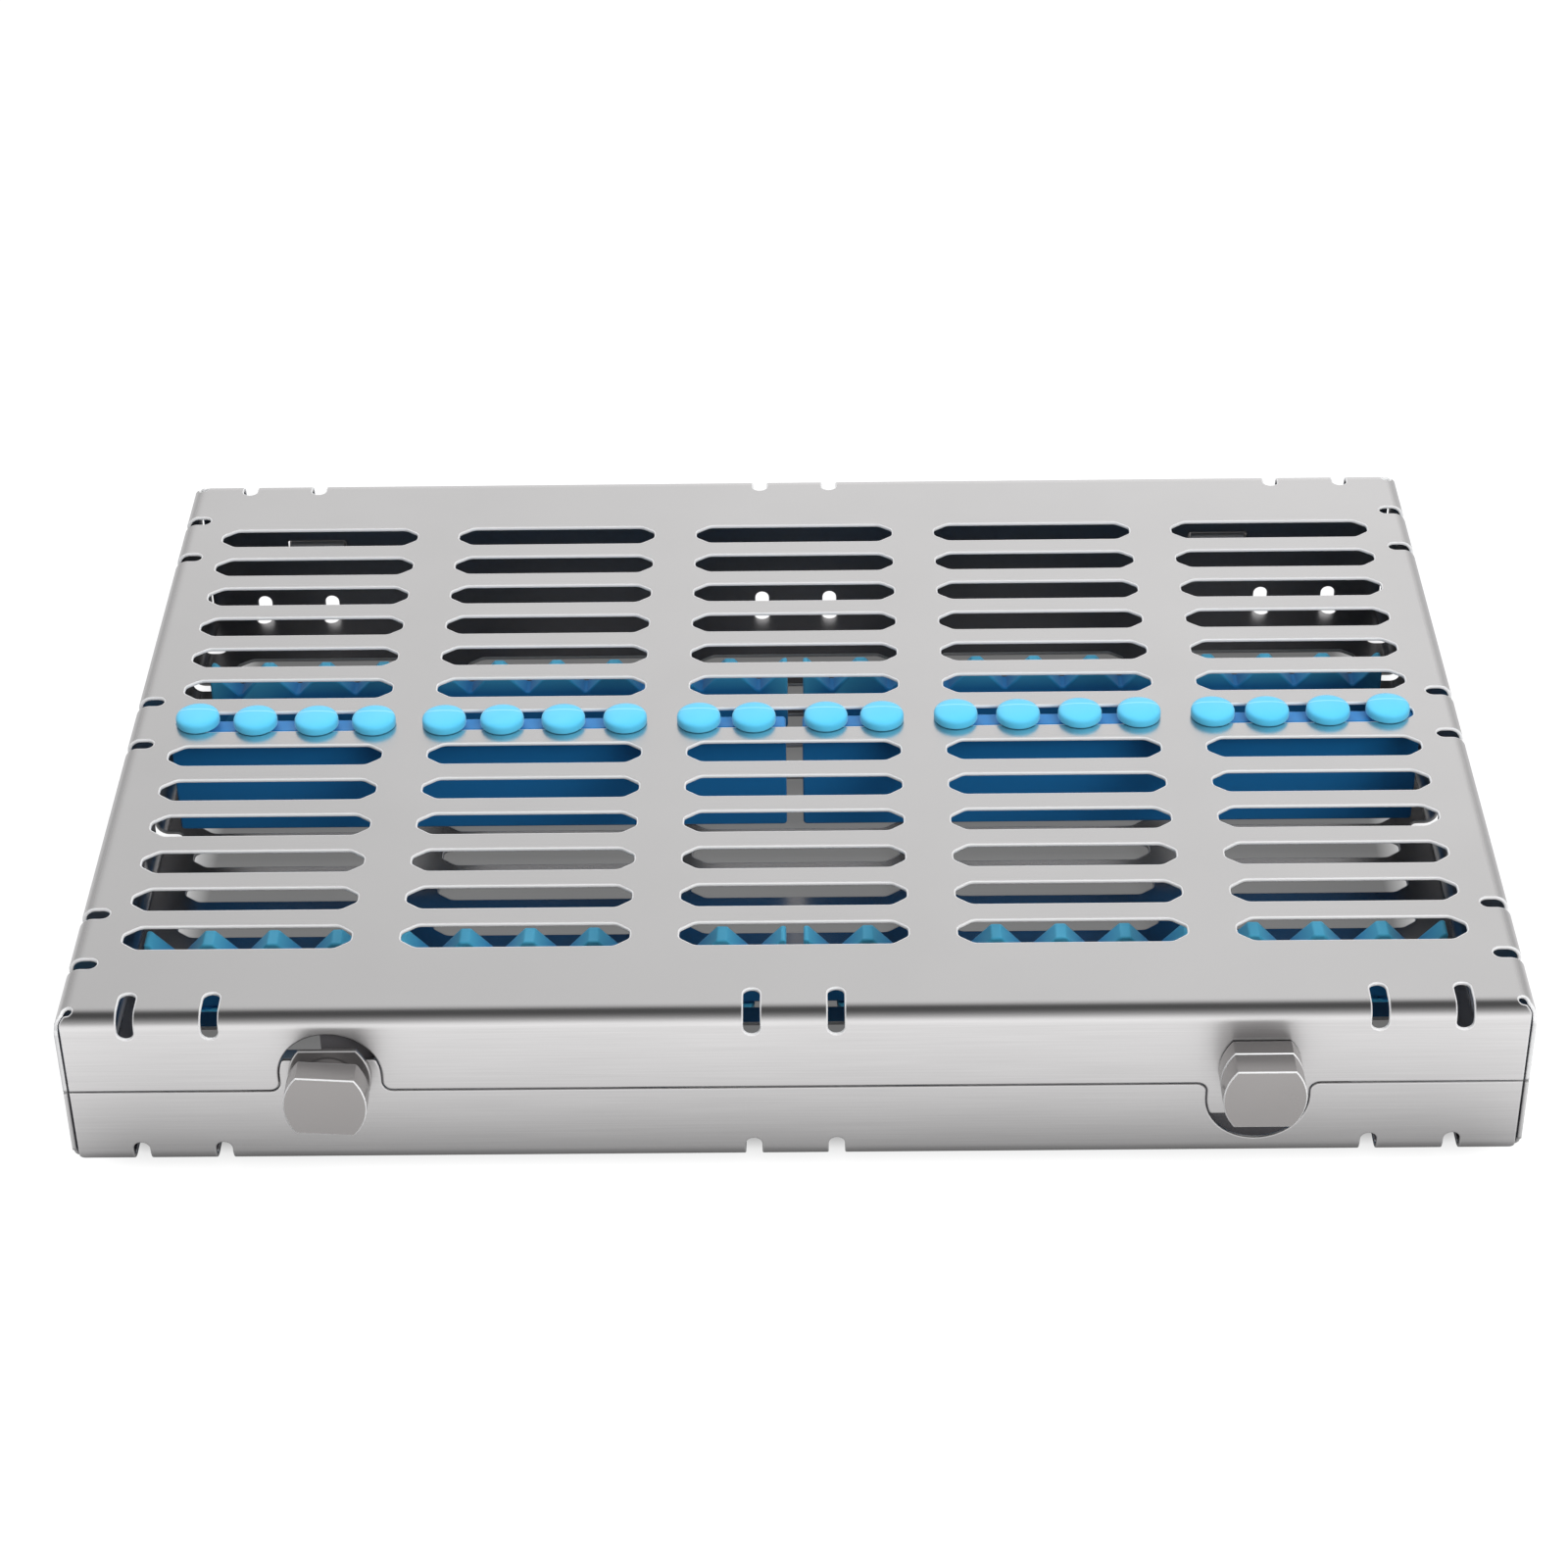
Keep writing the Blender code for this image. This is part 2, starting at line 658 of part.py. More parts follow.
def make_latch(model, hand, side, collar_depth, tilt):
    """Collar, knob and shaft, spring washer, cam and end screw on one axis through the wall."""
    axis = model.latch_left if side < 0 else model.latch_right
    carrier = model.root if side < 0 else model.lid
    place = Vector(axis["place"])
    hole = SHAFT_RADIUS + CLEAR

    collar_rear = -CLEAR
    collar_front = collar_rear - collar_depth
    collar = model.piece(
        f"collar_{hand}", plate_on_axis(knob_outline(), collar_front, collar_rear),
        model.polished, carrier, place,
    )
    chamfer(collar, KNOB_CHAMFER)
    bore = model.cutter(f"collar_{hand}_bore", round_prism(hole, collar_front - PAST, PAST), carrier)
    bore.location = collar.location
    boolean(collar, bore, "DIFFERENCE")

    washer_front = SHEET + CLEAR
    washer_rear = washer_front + WASHER_THICK
    cam_front = washer_rear + CLEAR
    cam_rear = cam_front + CAM_THICK
    shaft_rear = cam_rear
    knob_front = -KNOB_REACH
    knob_rear = knob_front + KNOB_DEPTH
    neck_rear = collar_front - CLEAR

    knob = model.piece(
        f"knob_{hand}", plate_on_axis(knob_outline(), knob_front, knob_rear), model.polished, axis, place
    )
    knob.rotation_euler = (0.0, math.radians(tilt), 0.0)
    chamfer(knob, KNOB_CHAMFER)
    stem = [(0.0, -knob_front - KNOB_DEPTH / 2), (SHAFT_RADIUS, -knob_front - KNOB_DEPTH / 2)]
    if neck_rear - knob_rear > CLEAR:
        stem = [
            (0.0, -knob_front - KNOB_DEPTH / 2),
            (NECK_RADIUS, -knob_front - KNOB_DEPTH / 2),
            (NECK_RADIUS, -neck_rear),
            (SHAFT_RADIUS, -neck_rear),
        ]
    stem += [(SHAFT_RADIUS, -shaft_rear), (0.0, -shaft_rear)]
    shaft_mesh = turned_mesh(stem, 16)
    shaft_mesh.transform(STAND_UP)
    shaft = model.cutter(f"knob_{hand}_shaft", shaft_mesh, axis)
    boolean(knob, shaft, "UNION")
    flats = [
        (
            box_mesh(
                (-NECK_RADIUS, cam_front - CLEAR, SHAFT_FLATS / 2),
                (NECK_RADIUS, shaft_rear + PAST, 2 * SHAFT_RADIUS),
            ),
            Matrix.Rotation(turn, 4, "Y"),
        )
        for turn in (0.0, math.pi)
    ]
    drill = round_prism(SCREW_RADIUS + CLEAR, shaft_rear - SCREW_LENGTH, shaft_rear + PAST, 8)
    ends = model.cutter(f"knob_{hand}_flats", joined(flats), axis)
    tapped = model.cutter(f"knob_{hand}_tapped", drill, axis)
    boolean(knob, ends, "DIFFERENCE")
    boolean(knob, tapped, "DIFFERENCE")

    washer = model.piece(
        f"spring_washer_{hand}", round_prism(WASHER_RADIUS, washer_front, washer_rear),
        model.polished, axis, place,
    )
    washer_bore = model.cutter(
        f"spring_washer_{hand}_bore", round_prism(hole, washer_front - PAST, washer_rear + PAST), axis
    )
    boolean(washer, washer_bore, "DIFFERENCE")

    cam = model.piece(
        f"cam_{hand}", plate_on_axis(cam_outline(side < 0), cam_front, cam_rear),
        model.steel, axis, place,
    )
    fit = SHAFT_RADIUS + CLEAR
    reach = SHAFT_FLATS / 2 + CLEAR
    angle = math.degrees(math.asin(reach / fit))
    flat_hole = arc((0.0, 0.0), fit, -angle, angle, 6)
    flat_hole += [(-x, -z) for x, z in flat_hole]
    socket = plate_on_axis(flat_hole, cam_front - PAST, cam_rear + PAST)
    cam_bore = model.cutter(f"cam_{hand}_bore", socket, axis)
    boolean(cam, cam_bore, "DIFFERENCE")

    head_front = cam_rear + CLEAR
    screw_profile = [
        (0.0, -head_front + SCREW_LENGTH - CLEAR),
        (SCREW_RADIUS, -head_front + SCREW_LENGTH - CLEAR),
        (SCREW_RADIUS, -head_front),
        (SCREW_HEAD_RADIUS, -head_front),
        (SCREW_HEAD_RADIUS, -head_front - 0.6 * SCREW_HEAD),
        (0.7 * SCREW_HEAD_RADIUS, -head_front - SCREW_HEAD),
        (0.0, -head_front - SCREW_HEAD),
    ]
    screw_mesh = turned_mesh(screw_profile, 12)
    screw_mesh.transform(STAND_UP)
    model.piece(f"end_screw_{hand}", screw_mesh, model.polished, axis, place)


def make_keeper(model, hand, side, carrier, ledge_z, weld_z):
    """An angle bracket: a foot welded inside the front wall and a ledge beside the latch."""
    near = SHEET + CLEAR
    far = near + KEEPER_DEPTH
    toward = math.copysign(1.0, weld_z - ledge_z)
    outline = [
        (near, ledge_z),
        (far, ledge_z),
        (far, ledge_z + toward * KEEPER_PLATE),
        (near + KEEPER_PLATE, ledge_z + toward * KEEPER_PLATE),
        (near + KEEPER_PLATE, weld_z),
        (near, weld_z),
    ]
    start = side * (LATCH_X + KEEPER_START)
    end = start + side * KEEPER_LENGTH
    place = Vector(((start + end) / 2, -HALF_WIDTH, 0.0))
    plate = outline_mesh(outline, KEEPER_LENGTH)
    plate.transform(STAND_ACROSS)
    keeper = model.piece(f"keeper_{hand}", plate, model.steel, carrier, place)
    trim_from = -side * (KEEPER_LENGTH / 2 + PAST)
    trim_to = side * (KEEPER_LENGTH / 2 - KEEPER_FOOT)
    x_low, x_high = sorted((trim_from, trim_to))
    z_low, z_high = sorted((ledge_z + toward * KEEPER_PLATE, weld_z + toward * PAST))
    trim = model.cutter(
        f"keeper_{hand}_trim", box_mesh((x_low, 0.0, z_low), (x_high, far + PAST, z_high)), carrier
    )
    trim.location = keeper.location
    boolean(keeper, trim, "DIFFERENCE")


def make_hinge_pins(model):
    """A plain pin with rounded ends through the two eyes of each hinge."""
    half = KNUCKLE_LENGTH + KNUCKLE_GAP / 2 + PIN_PROUD
    dome = PIN_RADIUS / 3
    profile = [
        (0.0, half),
        (PIN_RADIUS - dome, half),
        (PIN_RADIUS, half - dome),
        (PIN_RADIUS, dome - half),
        (PIN_RADIUS - dome, -half),
        (0.0, -half),
    ]
    for hand, side in (("left", -1), ("right", 1)):
        pin = turned_mesh(profile, 16)
        pin.transform(Matrix.Rotation(math.pi / 2, 4, "Y"))
        place = Vector((side * HINGE_X, PIN_Y, TRAY_HEIGHT))
        model.piece(f"hinge_pin_{hand}", pin, model.polished, model.root, place)


def main():
    model = Model()
    make_tray(model, "base_tray", LATCH_Z, model.root, Matrix.Identity(4))
    over = Matrix.Translation(Vector((0.0, 0.0, CLOSED_HEIGHT)) - LID_AXIS) @ Matrix.Rotation(math.pi, 4, "Y")
    make_tray(model, "lid_tray", CLOSED_HEIGHT - LATCH_Z, model.lid, over)
    make_silicone(model)
    make_hinge_pins(model)
    make_latch(model, "left", -1, COLLAR_LEFT, KNOB_TILT_LEFT)
    make_latch(model, "right", 1, COLLAR_RIGHT, 0.0)
    ledge_left = LATCH_Z - CAM_LIP - CLEAR
    make_keeper(model, "left", -1, model.lid, ledge_left - KEEPER_PLATE, ledge_left + KEEPER_WELD)
    ledge_right = LATCH_Z + CAM_LIP + CLEAR + KEEPER_PLATE
    make_keeper(model, "right", 1, model.root, ledge_right, TRAY_HEIGHT - 1.2 * KEEPER_WELD)


main()
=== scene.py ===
# %% [markdown]
# # A folded steel instrument cassette
# The cassette is two shallow trays of thin stainless sheet, hinged at the rear and locked by two
# small turning latches at the front. Blue silicone rails inside carry twenty slim instruments.
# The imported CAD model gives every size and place. This script dresses it: each visible piece gets
# a finer surface and a procedural finish, and the joints keep working because every piece rides
# on the body of the CAD part that it stands for.

# %% Load the frame
import json

import bpy
import bmesh
import numpy as np
from mathutils import Matrix, Vector
from mathutils.geometry import delaunay_2d_cdt


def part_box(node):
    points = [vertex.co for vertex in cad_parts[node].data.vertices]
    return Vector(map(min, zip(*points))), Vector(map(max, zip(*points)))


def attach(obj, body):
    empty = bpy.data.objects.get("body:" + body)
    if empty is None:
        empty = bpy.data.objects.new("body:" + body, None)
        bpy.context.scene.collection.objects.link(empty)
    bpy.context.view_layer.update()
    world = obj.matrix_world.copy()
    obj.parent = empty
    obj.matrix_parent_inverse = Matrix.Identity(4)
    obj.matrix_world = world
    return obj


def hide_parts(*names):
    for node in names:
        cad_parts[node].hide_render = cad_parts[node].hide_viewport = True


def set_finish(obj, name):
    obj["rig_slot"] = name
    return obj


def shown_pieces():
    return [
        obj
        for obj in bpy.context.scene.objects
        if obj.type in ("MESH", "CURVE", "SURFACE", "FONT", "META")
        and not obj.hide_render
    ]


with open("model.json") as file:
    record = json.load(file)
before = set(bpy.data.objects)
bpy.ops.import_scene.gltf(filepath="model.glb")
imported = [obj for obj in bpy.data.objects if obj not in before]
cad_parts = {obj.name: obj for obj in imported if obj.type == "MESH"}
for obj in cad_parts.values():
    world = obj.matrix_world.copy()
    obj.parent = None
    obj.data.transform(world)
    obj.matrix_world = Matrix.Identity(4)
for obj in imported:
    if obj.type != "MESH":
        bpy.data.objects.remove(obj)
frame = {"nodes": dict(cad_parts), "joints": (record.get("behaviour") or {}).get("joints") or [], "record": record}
bpy.context.view_layer.update()

# %% [markdown]
# ## Sizes
# The big sizes are read back from the CAD model, so the fine pieces land where the plain ones
# are. The hinge joint says where the pins are, and the base tray's box says where its floor,
# front wall and end walls are. Sizes that are cut into the sheet repeat the drawing's values.

# %% Read the sizes
MM = 0.001
SHEET = 0.8 * MM
BEND = 3.0 * MM
KNUCKLE = 2.6 * MM

joints = {joint["name"]: np.array(joint["pos_m"]) for joint in frame["joints"]}
tray_low, tray_high = (np.array(corner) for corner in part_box("base_tray"))
hinge_y, hinge_z = joints["lid_hinge"][1:]
HALF_LENGTH = (tray_high[0] - tray_low[0]) / 2
FLOOR_Z = tray_low[2]
FRONT_Y = tray_low[1]
REAR_Y = hinge_y - KNUCKLE + SHEET
MIDDLE_Y = (FRONT_Y + REAR_Y) / 2
HALF_WIDTH = (REAR_Y - FRONT_Y) / 2
TRAY_HEIGHT = hinge_z - FLOOR_Z
LATCH_X = joints["latch_right_turn"][0]
LATCH_RISE = joints["latch_right_turn"][2] - FLOOR_Z
print("tray", 2 * HALF_LENGTH, "x", 2 * HALF_WIDTH, "height", TRAY_HEIGHT, "latch at", LATCH_X, LATCH_RISE)

# %% [markdown]
# ## Outlines
# Almost every piece here is either a sheet with holes or a plate with a rounded rim. Both start
# from outlines: closed rings of points, drawn so that the material lies to the left. One function
# rounds the corners of a ring, one moves a ring into the material, and one adds points where the
# ring will be bent. All three work on whole arrays.


# %% Ring tools
def edge_normals(ring):
    """Unit normals, to the left of each edge from a point to the next."""
    step = np.roll(ring, -1, axis=-2) - ring
    step = step / np.linalg.norm(step, axis=-1, keepdims=True)
    return np.stack((-step[..., 1], step[..., 0]), axis=-1)


def mitres(ring):
    """For each point, the move that shifts both its edges one unit to the left: the sum of the two
    edge normals over one plus their dot product."""
    after = edge_normals(ring)
    before = np.roll(after, 1, axis=-2)
    return (before + after) / (1 + np.sum(before * after, axis=-1, keepdims=True))


def inset(ring, depth):
    """The ring moved into the material by a depth."""
    return ring + depth * mitres(ring)


def fillet(ring, radius, steps=4):
    """Each corner replaced by an arc. The arc's centre is the corner moved to the left (or to the
    right at an inner corner) by the radius along the mitre, and its points swing from one edge's
    normal to the next."""
    after = edge_normals(ring)
    before = np.roll(after, 1, axis=0)
    turn = np.arctan2(before[:, 0] * after[:, 1] - before[:, 1] * after[:, 0], np.sum(before * after, axis=1))
    side = np.where(turn < 0, -1.0, 1.0)[:, None]
    radius = np.broadcast_to(np.asarray(radius, float), turn.shape)[:, None]
    centre = ring + side * radius * mitres(ring)
    start = np.arctan2(before[:, 1], before[:, 0])[:, None]
    angle = start + turn[:, None] * np.linspace(0, 1, steps + 1)
    swing = np.stack((np.cos(angle), np.sin(angle)), axis=-1)
    return (centre[:, None] - side[:, None] * radius[:, None] * swing).reshape(-1, 2)


def arc(centre, radius, start, end, steps):
    """Points on an arc, angles in degrees, both ends included."""
    angle = np.radians(np.linspace(start, end, steps + 1))
    return np.array(centre) + radius * np.stack((np.cos(angle), np.sin(angle)), axis=-1)


def subdivided(ring, longest):
    """Points added so that no edge of the ring is longer than its own limit."""
    step = np.roll(ring, -1, axis=0) - ring
    limit = longest(ring + step / 2)
    count = np.maximum(np.ceil(np.linalg.norm(step, axis=1) / limit - 1e-6), 1).astype(int)
    first = np.repeat(np.arange(len(ring)), count)
    part = (np.arange(count.sum()) - np.repeat(np.cumsum(count) - count, count)) / np.repeat(count, count)
    return ring[first] + part[:, None] * step[first]


def grid_faces(rows, columns, closed_rows=False, closed_columns=False):
    """Quads between neighbours on a grid of points that is numbered row by row."""
    row = np.arange(rows if closed_rows else rows - 1)
    column = np.arange(columns if closed_columns else columns - 1)
    row, column = (index.ravel() for index in np.meshgrid(row, column, indexing="ij"))
    ahead, beside = (row + 1) % rows, (column + 1) % columns
    corners = ((row, column), (row, beside), (ahead, beside), (ahead, column))
    return np.stack([first * columns + second for first, second in corners], axis=1)


print("ring tools ready")

# %% [markdown]
# ## The blank
# A sheet-metal tray is cut flat and then folded, and it is modelled the same way. The blank is
# one outline with all its holes. A floor in the middle has four flaps, and a small round relief
# at each corner keeps the flaps apart while they fold. The rear flap carries two tongues that
# will be rolled into hinge eyes. The front flap carries a rounded tab and an arched notch: the
# lid is the same tray turned over, so its tab fills the base's notch and the other way round.
# The alternative, a solid box cut by Booleans, gives neither true bends nor rounded rims.

# %% Sizes of the blank
SLOT_ROWS, SLOT_COLUMNS = 13, 5
SLOT_WIDTH, SLOT_INSET, SLOT_BRIDGE = 7.3 * MM, 9.8 * MM, 9.6 * MM
ROW_INSET = 25.0 * MM
COLUMN_PITCH = (2 * HALF_LENGTH - 2 * SLOT_INSET + SLOT_BRIDGE) / SLOT_COLUMNS
SLOT_LENGTH = COLUMN_PITCH - SLOT_BRIDGE
ROW_PITCH = (2 * HALF_WIDTH - 2 * ROW_INSET) / (SLOT_ROWS - 1)
SLOT_POINT, SLOT_TIP = 3.0 * MM, 2.6 * MM
NOTCH_WIDTH, NOTCH_PAIR, NOTCH_RISE = 3.2 * MM, 16.0 * MM, 5.3 * MM
REACH_FRONT, REACH_REAR, REACH_SIDE = 7.7 * MM, 5.5 * MM, 6.0 * MM
NOTCH_END_X = HALF_LENGTH - 21.5 * MM
NOTCH_END_Y = HALF_WIDTH - 25.0 * MM
ARCH_RADIUS, ARCH_STRAIGHT, ARCH_CORNER = 9.95 * MM, 3.6 * MM, 1.8 * MM
TAB_GAP, TAB_RISE, TAB_CORNER = 0.25 * MM, 7.5 * MM, 0.7 * MM
RELIEF_OFF, RELIEF_RADIUS = 0.48 * MM, 0.95 * MM
SHAFT_HOLE = 2.8 * MM
PARTING_GAP, SEAM = 0.3 * MM, 0.35 * MM
BUTT = BEND - SHEET - SEAM
HINGE_X = HALF_LENGTH - 33.9 * MM
KNUCKLE_LENGTH, KNUCKLE_GAP, HINGE_CUT = 12.7 * MM, 0.5 * MM, 2.6 * MM
ROLL_RADIUS = KNUCKLE - SHEET / 2
ROLL_TURN = np.radians(300)

FLAT_X, FLAT_Y = HALF_LENGTH - BEND, HALF_WIDTH - BEND
FOLD_RADIUS = BEND - SHEET / 2
FOLD_ARC = FOLD_RADIUS * np.pi / 2
PARTING_Z = TRAY_HEIGHT - PARTING_GAP / 2
BEND_MARGIN, BENT_EDGE = 0.6 * MM, 0.55 * MM


def flap_reach(height):
    """How far from the floor's edge, along the bent sheet, a height on a wall lies: the length of
    the bend plus the straight part above it."""
    return FOLD_ARC + height - BEND


ROLL_START = flap_reach(TRAY_HEIGHT)
ROLL_END = ROLL_START + ROLL_TURN * ROLL_RADIUS
print("bend length", FOLD_ARC, "tongue length", ROLL_END - ROLL_START)


# %% Outline of the blank
def front_edge():
    """Along the top of the front wall, left to right, as (x, height): a round-shouldered tab cut off
    flat on the left, and an arched notch with rounded corners on the right. The tab's top corner is
    an arc that touches the shoulder and the flat, so its centre lies a corner radius inside both."""
    radius = ARCH_RADIUS - TAB_GAP
    foot = ARCH_CORNER + TAB_GAP
    centre = TRAY_HEIGHT + ARCH_STRAIGHT
    rise = TRAY_HEIGHT + TAB_RISE - centre - TAB_CORNER
    run = np.sqrt((radius - TAB_CORNER) ** 2 - rise**2)
    lift = np.degrees(np.arctan2(rise, run))
    shoulder = arc((radius + foot, PARTING_Z + foot), foot, 270, 180, 6)
    top = arc((run, centre + rise), TAB_CORNER, lift, 90, 4)
    side = np.concatenate((shoulder, arc((0, centre), radius, 0, lift, 6)[:-1], top))
    tab = np.concatenate((side * (-1, 1), side[::-1]))
    low = TRAY_HEIGHT - ARCH_STRAIGHT
    corner = arc((-ARCH_RADIUS - ARCH_CORNER, PARTING_Z - ARCH_CORNER), ARCH_CORNER, 90, 0, 6)
    notch = np.concatenate((corner, arc((0, low), ARCH_RADIUS, 180, 360, 28), corner[::-1] * (-1, 1)))
    end = FLAT_X + BUTT
    return np.concatenate(([(-end, PARTING_Z)], tab - (LATCH_X, 0), notch + (LATCH_X, 0), [(end, PARTING_Z)]))


def rear_edge():
    """Along the top of the rear wall, right to left, as (x, reach): two tongues to roll, each beside
    a deeper cut that makes room for the other tray's tongue."""
    level, cut = flap_reach(PARTING_Z), flap_reach(TRAY_HEIGHT - HINGE_CUT)
    end = FLAT_X + BUTT
    edge = [(end, 0), (end, level)]
    for inner, outer, cut_end in TONGUES:
        edge += [(cut_end, level), (cut_end, cut), (inner, cut), (inner, ROLL_END), (outer, ROLL_END), (outer, level)]
    edge += [(-end, level), (-end, 0)]
    steps = 3
    return fillet(np.array(edge), 0.5 * MM, steps)[steps + 1 : -steps - 1]


def blank_outline():
    """The whole rim of the blank, counter-clockwise. A corner is the front or rear flap's end, the
    round relief, and the start of the side flap. Along the bend both follow the mitre: a point at
    some reach stops where the other flap's bend is, which is the fold radius times the sine of the
    bend angle."""
    low = flap_reach(PARTING_Z)
    slant = FOLD_ARC + BEND_MARGIN
    reach = np.linspace(0.38, 1, 4) * FOLD_ARC
    mitre = FOLD_RADIUS * np.sin(reach / FOLD_RADIUS) - RELIEF_OFF
    short = mitre < BUTT - 0.1 * MM
    flap_end = np.stack((FLAT_X + mitre[short], FLAT_Y + reach[short]), axis=1)[::-1]
    side_start = np.stack((FLAT_X + reach, FLAT_Y + mitre), axis=1)
    front = front_edge()
    front = np.stack((front[:, 0], -FLAT_Y - flap_reach(front[:, 1])), axis=1)
    flap_start = [(FLAT_X + BUTT, FLAT_Y + slant), (FLAT_X + BUTT, FLAT_Y + 0.75 * FOLD_ARC)]
    relief = arc((FLAT_X + RELIEF_OFF, FLAT_Y + RELIEF_OFF), RELIEF_RADIUS, 85, 365, 14)
    side_end = [(FLAT_X + slant, HALF_WIDTH), (FLAT_X + low, HALF_WIDTH)]
    corner = np.concatenate((flap_start, flap_end, relief, side_start, side_end))
    back = corner[::-1]
    sides = (front, corner * (1, -1), back, rear_edge() + (0, FLAT_Y), corner * (-1, 1), back * (-1, -1))
    return subdivided(np.concatenate(sides), curved_limit)


def curved_limit(middle):
    """The longest edge allowed at a place of the blank: short where the sheet will be bent."""
    over = np.abs(middle) - (FLAT_X, FLAT_Y)
    bent = np.any((over > -BEND_MARGIN) & (over < FOLD_ARC + BEND_MARGIN), axis=-1)
    rolled = middle[:, 1] > FLAT_Y + ROLL_START - BEND_MARGIN
    return np.where(bent | rolled, BENT_EDGE, 1.0)


# Inner end and outer end of each tongue, and the end of the cut beside it.
TONGUES = [
    (inner, inner - KNUCKLE_LENGTH, middle + KNUCKLE_GAP * 1.5 + KNUCKLE_LENGTH)
    for middle, inner in ((middle, middle - KNUCKLE_GAP / 2) for middle in (HINGE_X, -HINGE_X))
]
outline = blank_outline()
print("outline points:", len(outline))

# %% [markdown]
# ## Holes in the blank
# The floor has thirteen rows of five long slots with bluntly pointed ends, which let steam through
# and hold the silicone pegs. Short notches with round ends wrap round the bends in pairs. In the
# blank all are flat rings, drawn clockwise so that the sheet lies to the left of their edge too.


# %% Holes
def stadium(half_line, radius, steps):
    """A clockwise ring about the origin, long along X: a half circle round each end of a line."""
    right = arc((half_line, 0), radius, 90, -90, steps)
    return np.concatenate((right, -right))


def slot_ring():
    """A clockwise slot whose ends are blunt points with rounded corners."""
    tip, half = SLOT_LENGTH / 2, SLOT_WIDTH / 2
    right = np.array(((tip - SLOT_POINT, half), (tip, SLOT_TIP / 2), (tip, -SLOT_TIP / 2), (tip - SLOT_POINT, -half)))
    return fillet(np.concatenate((right, -right)), np.tile((2.2, 1.5, 1.5, 2.2), 2) * MM, 4)


def notch_ring(flat_half, outer_half, inward):
    """A notch about the middle of its length, and where that middle lies on the blank: it runs from
    a reach inside the outer wall to a height on the wall."""
    start = outer_half - inward
    end = flat_half + flap_reach(NOTCH_RISE)
    ring = stadium((end - start - NOTCH_WIDTH) / 2, NOTCH_WIDTH / 2, 10)
    return ring, (start + end) / 2


def blank_holes(shaft_height):
    """All holes as stacks of rings of equal length, (count, points, 2)."""
    columns = (np.arange(SLOT_COLUMNS) - (SLOT_COLUMNS - 1) / 2) * COLUMN_PITCH
    rows = (np.arange(SLOT_ROWS) - (SLOT_ROWS - 1) / 2) * ROW_PITCH
    centres = np.stack(np.meshgrid(columns, rows, indexing="ij"), axis=-1).reshape(-1, 1, 2)
    slots = centres + slot_ring()

    upright = []
    for side, inward in ((-1, REACH_FRONT), (1, REACH_REAR)):
        ring, reach = notch_ring(FLAT_Y, HALF_WIDTH, inward)
        upright += [subdivided(ring[:, ::-1] * (-1, 1) + (x, side * reach), curved_limit) for x in NOTCHES_X]
    ring, reach = notch_ring(FLAT_X, HALF_LENGTH, REACH_SIDE)
    place = np.stack(np.meshgrid((-reach, reach), NOTCHES_Y, indexing="ij"), axis=-1).reshape(-1, 2)
    level = [subdivided(ring + spot, curved_limit) for spot in place]

    shaft = stadium(0.02 * MM, SHAFT_HOLE, 14) + (-LATCH_X, -FLAT_Y - flap_reach(shaft_height))
    count = len(upright) // 2
    return [slots, np.array(upright[:count]), np.array(upright[count:]), np.array(level), shaft[np.newaxis]]


pair = np.array((-0.5, 0.5)) * NOTCH_PAIR
NOTCHES_X = (np.array((-1, 0, 1))[:, None] * NOTCH_END_X + pair).ravel()
NOTCHES_Y = (np.array((-1, 0, 1))[:, None] * NOTCH_END_Y + pair).ravel()
print("holes:", sum(len(stack) for stack in blank_holes(LATCH_RISE)))

# %% [markdown]
# ## From blank to sheet
# Every edge of the real sheet is tumbled until it is slightly round, and that thin round rim is
# what catches the light along each slot. So each ring is repeated at a few depths into the sheet,
# and the sheet's half thickness at each depth follows a quarter circle. A constrained Delaunay
# triangulation joins all the rings, and straight lines where the sheet bends keep its triangles
# along the bend.

# %% Triangulate the blank
RIM = 0.22 * MM
DEPTHS = RIM * np.array((0, 0.3, 1, 1.6))
FILL = np.clip(RIM - DEPTHS, 0, RIM)
HALF_SHEET = SHEET / 2 - RIM + np.sqrt(RIM**2 - FILL**2)
# Painted highlight on each depth level of a rim: the rim's colour is lightened towards near white there.
RIM_HIGHLIGHT = np.array((1, 1, 0.55, 0))
BEND_STEPS, ROLL_STEP = 8, np.radians(15)
GUARD = 0.5 * MM
CORNER = (FLAT_X - 2 * MM, FLAT_Y - 2 * MM)


def broken_line(stops, end, gap):
    """Starts and ends of the stretches of a line from -end to end that keep a gap from each stop."""
    stops = np.sort(stops)
    return np.stack((np.r_[-end, stops + gap], np.r_[stops - gap, end]), axis=1)


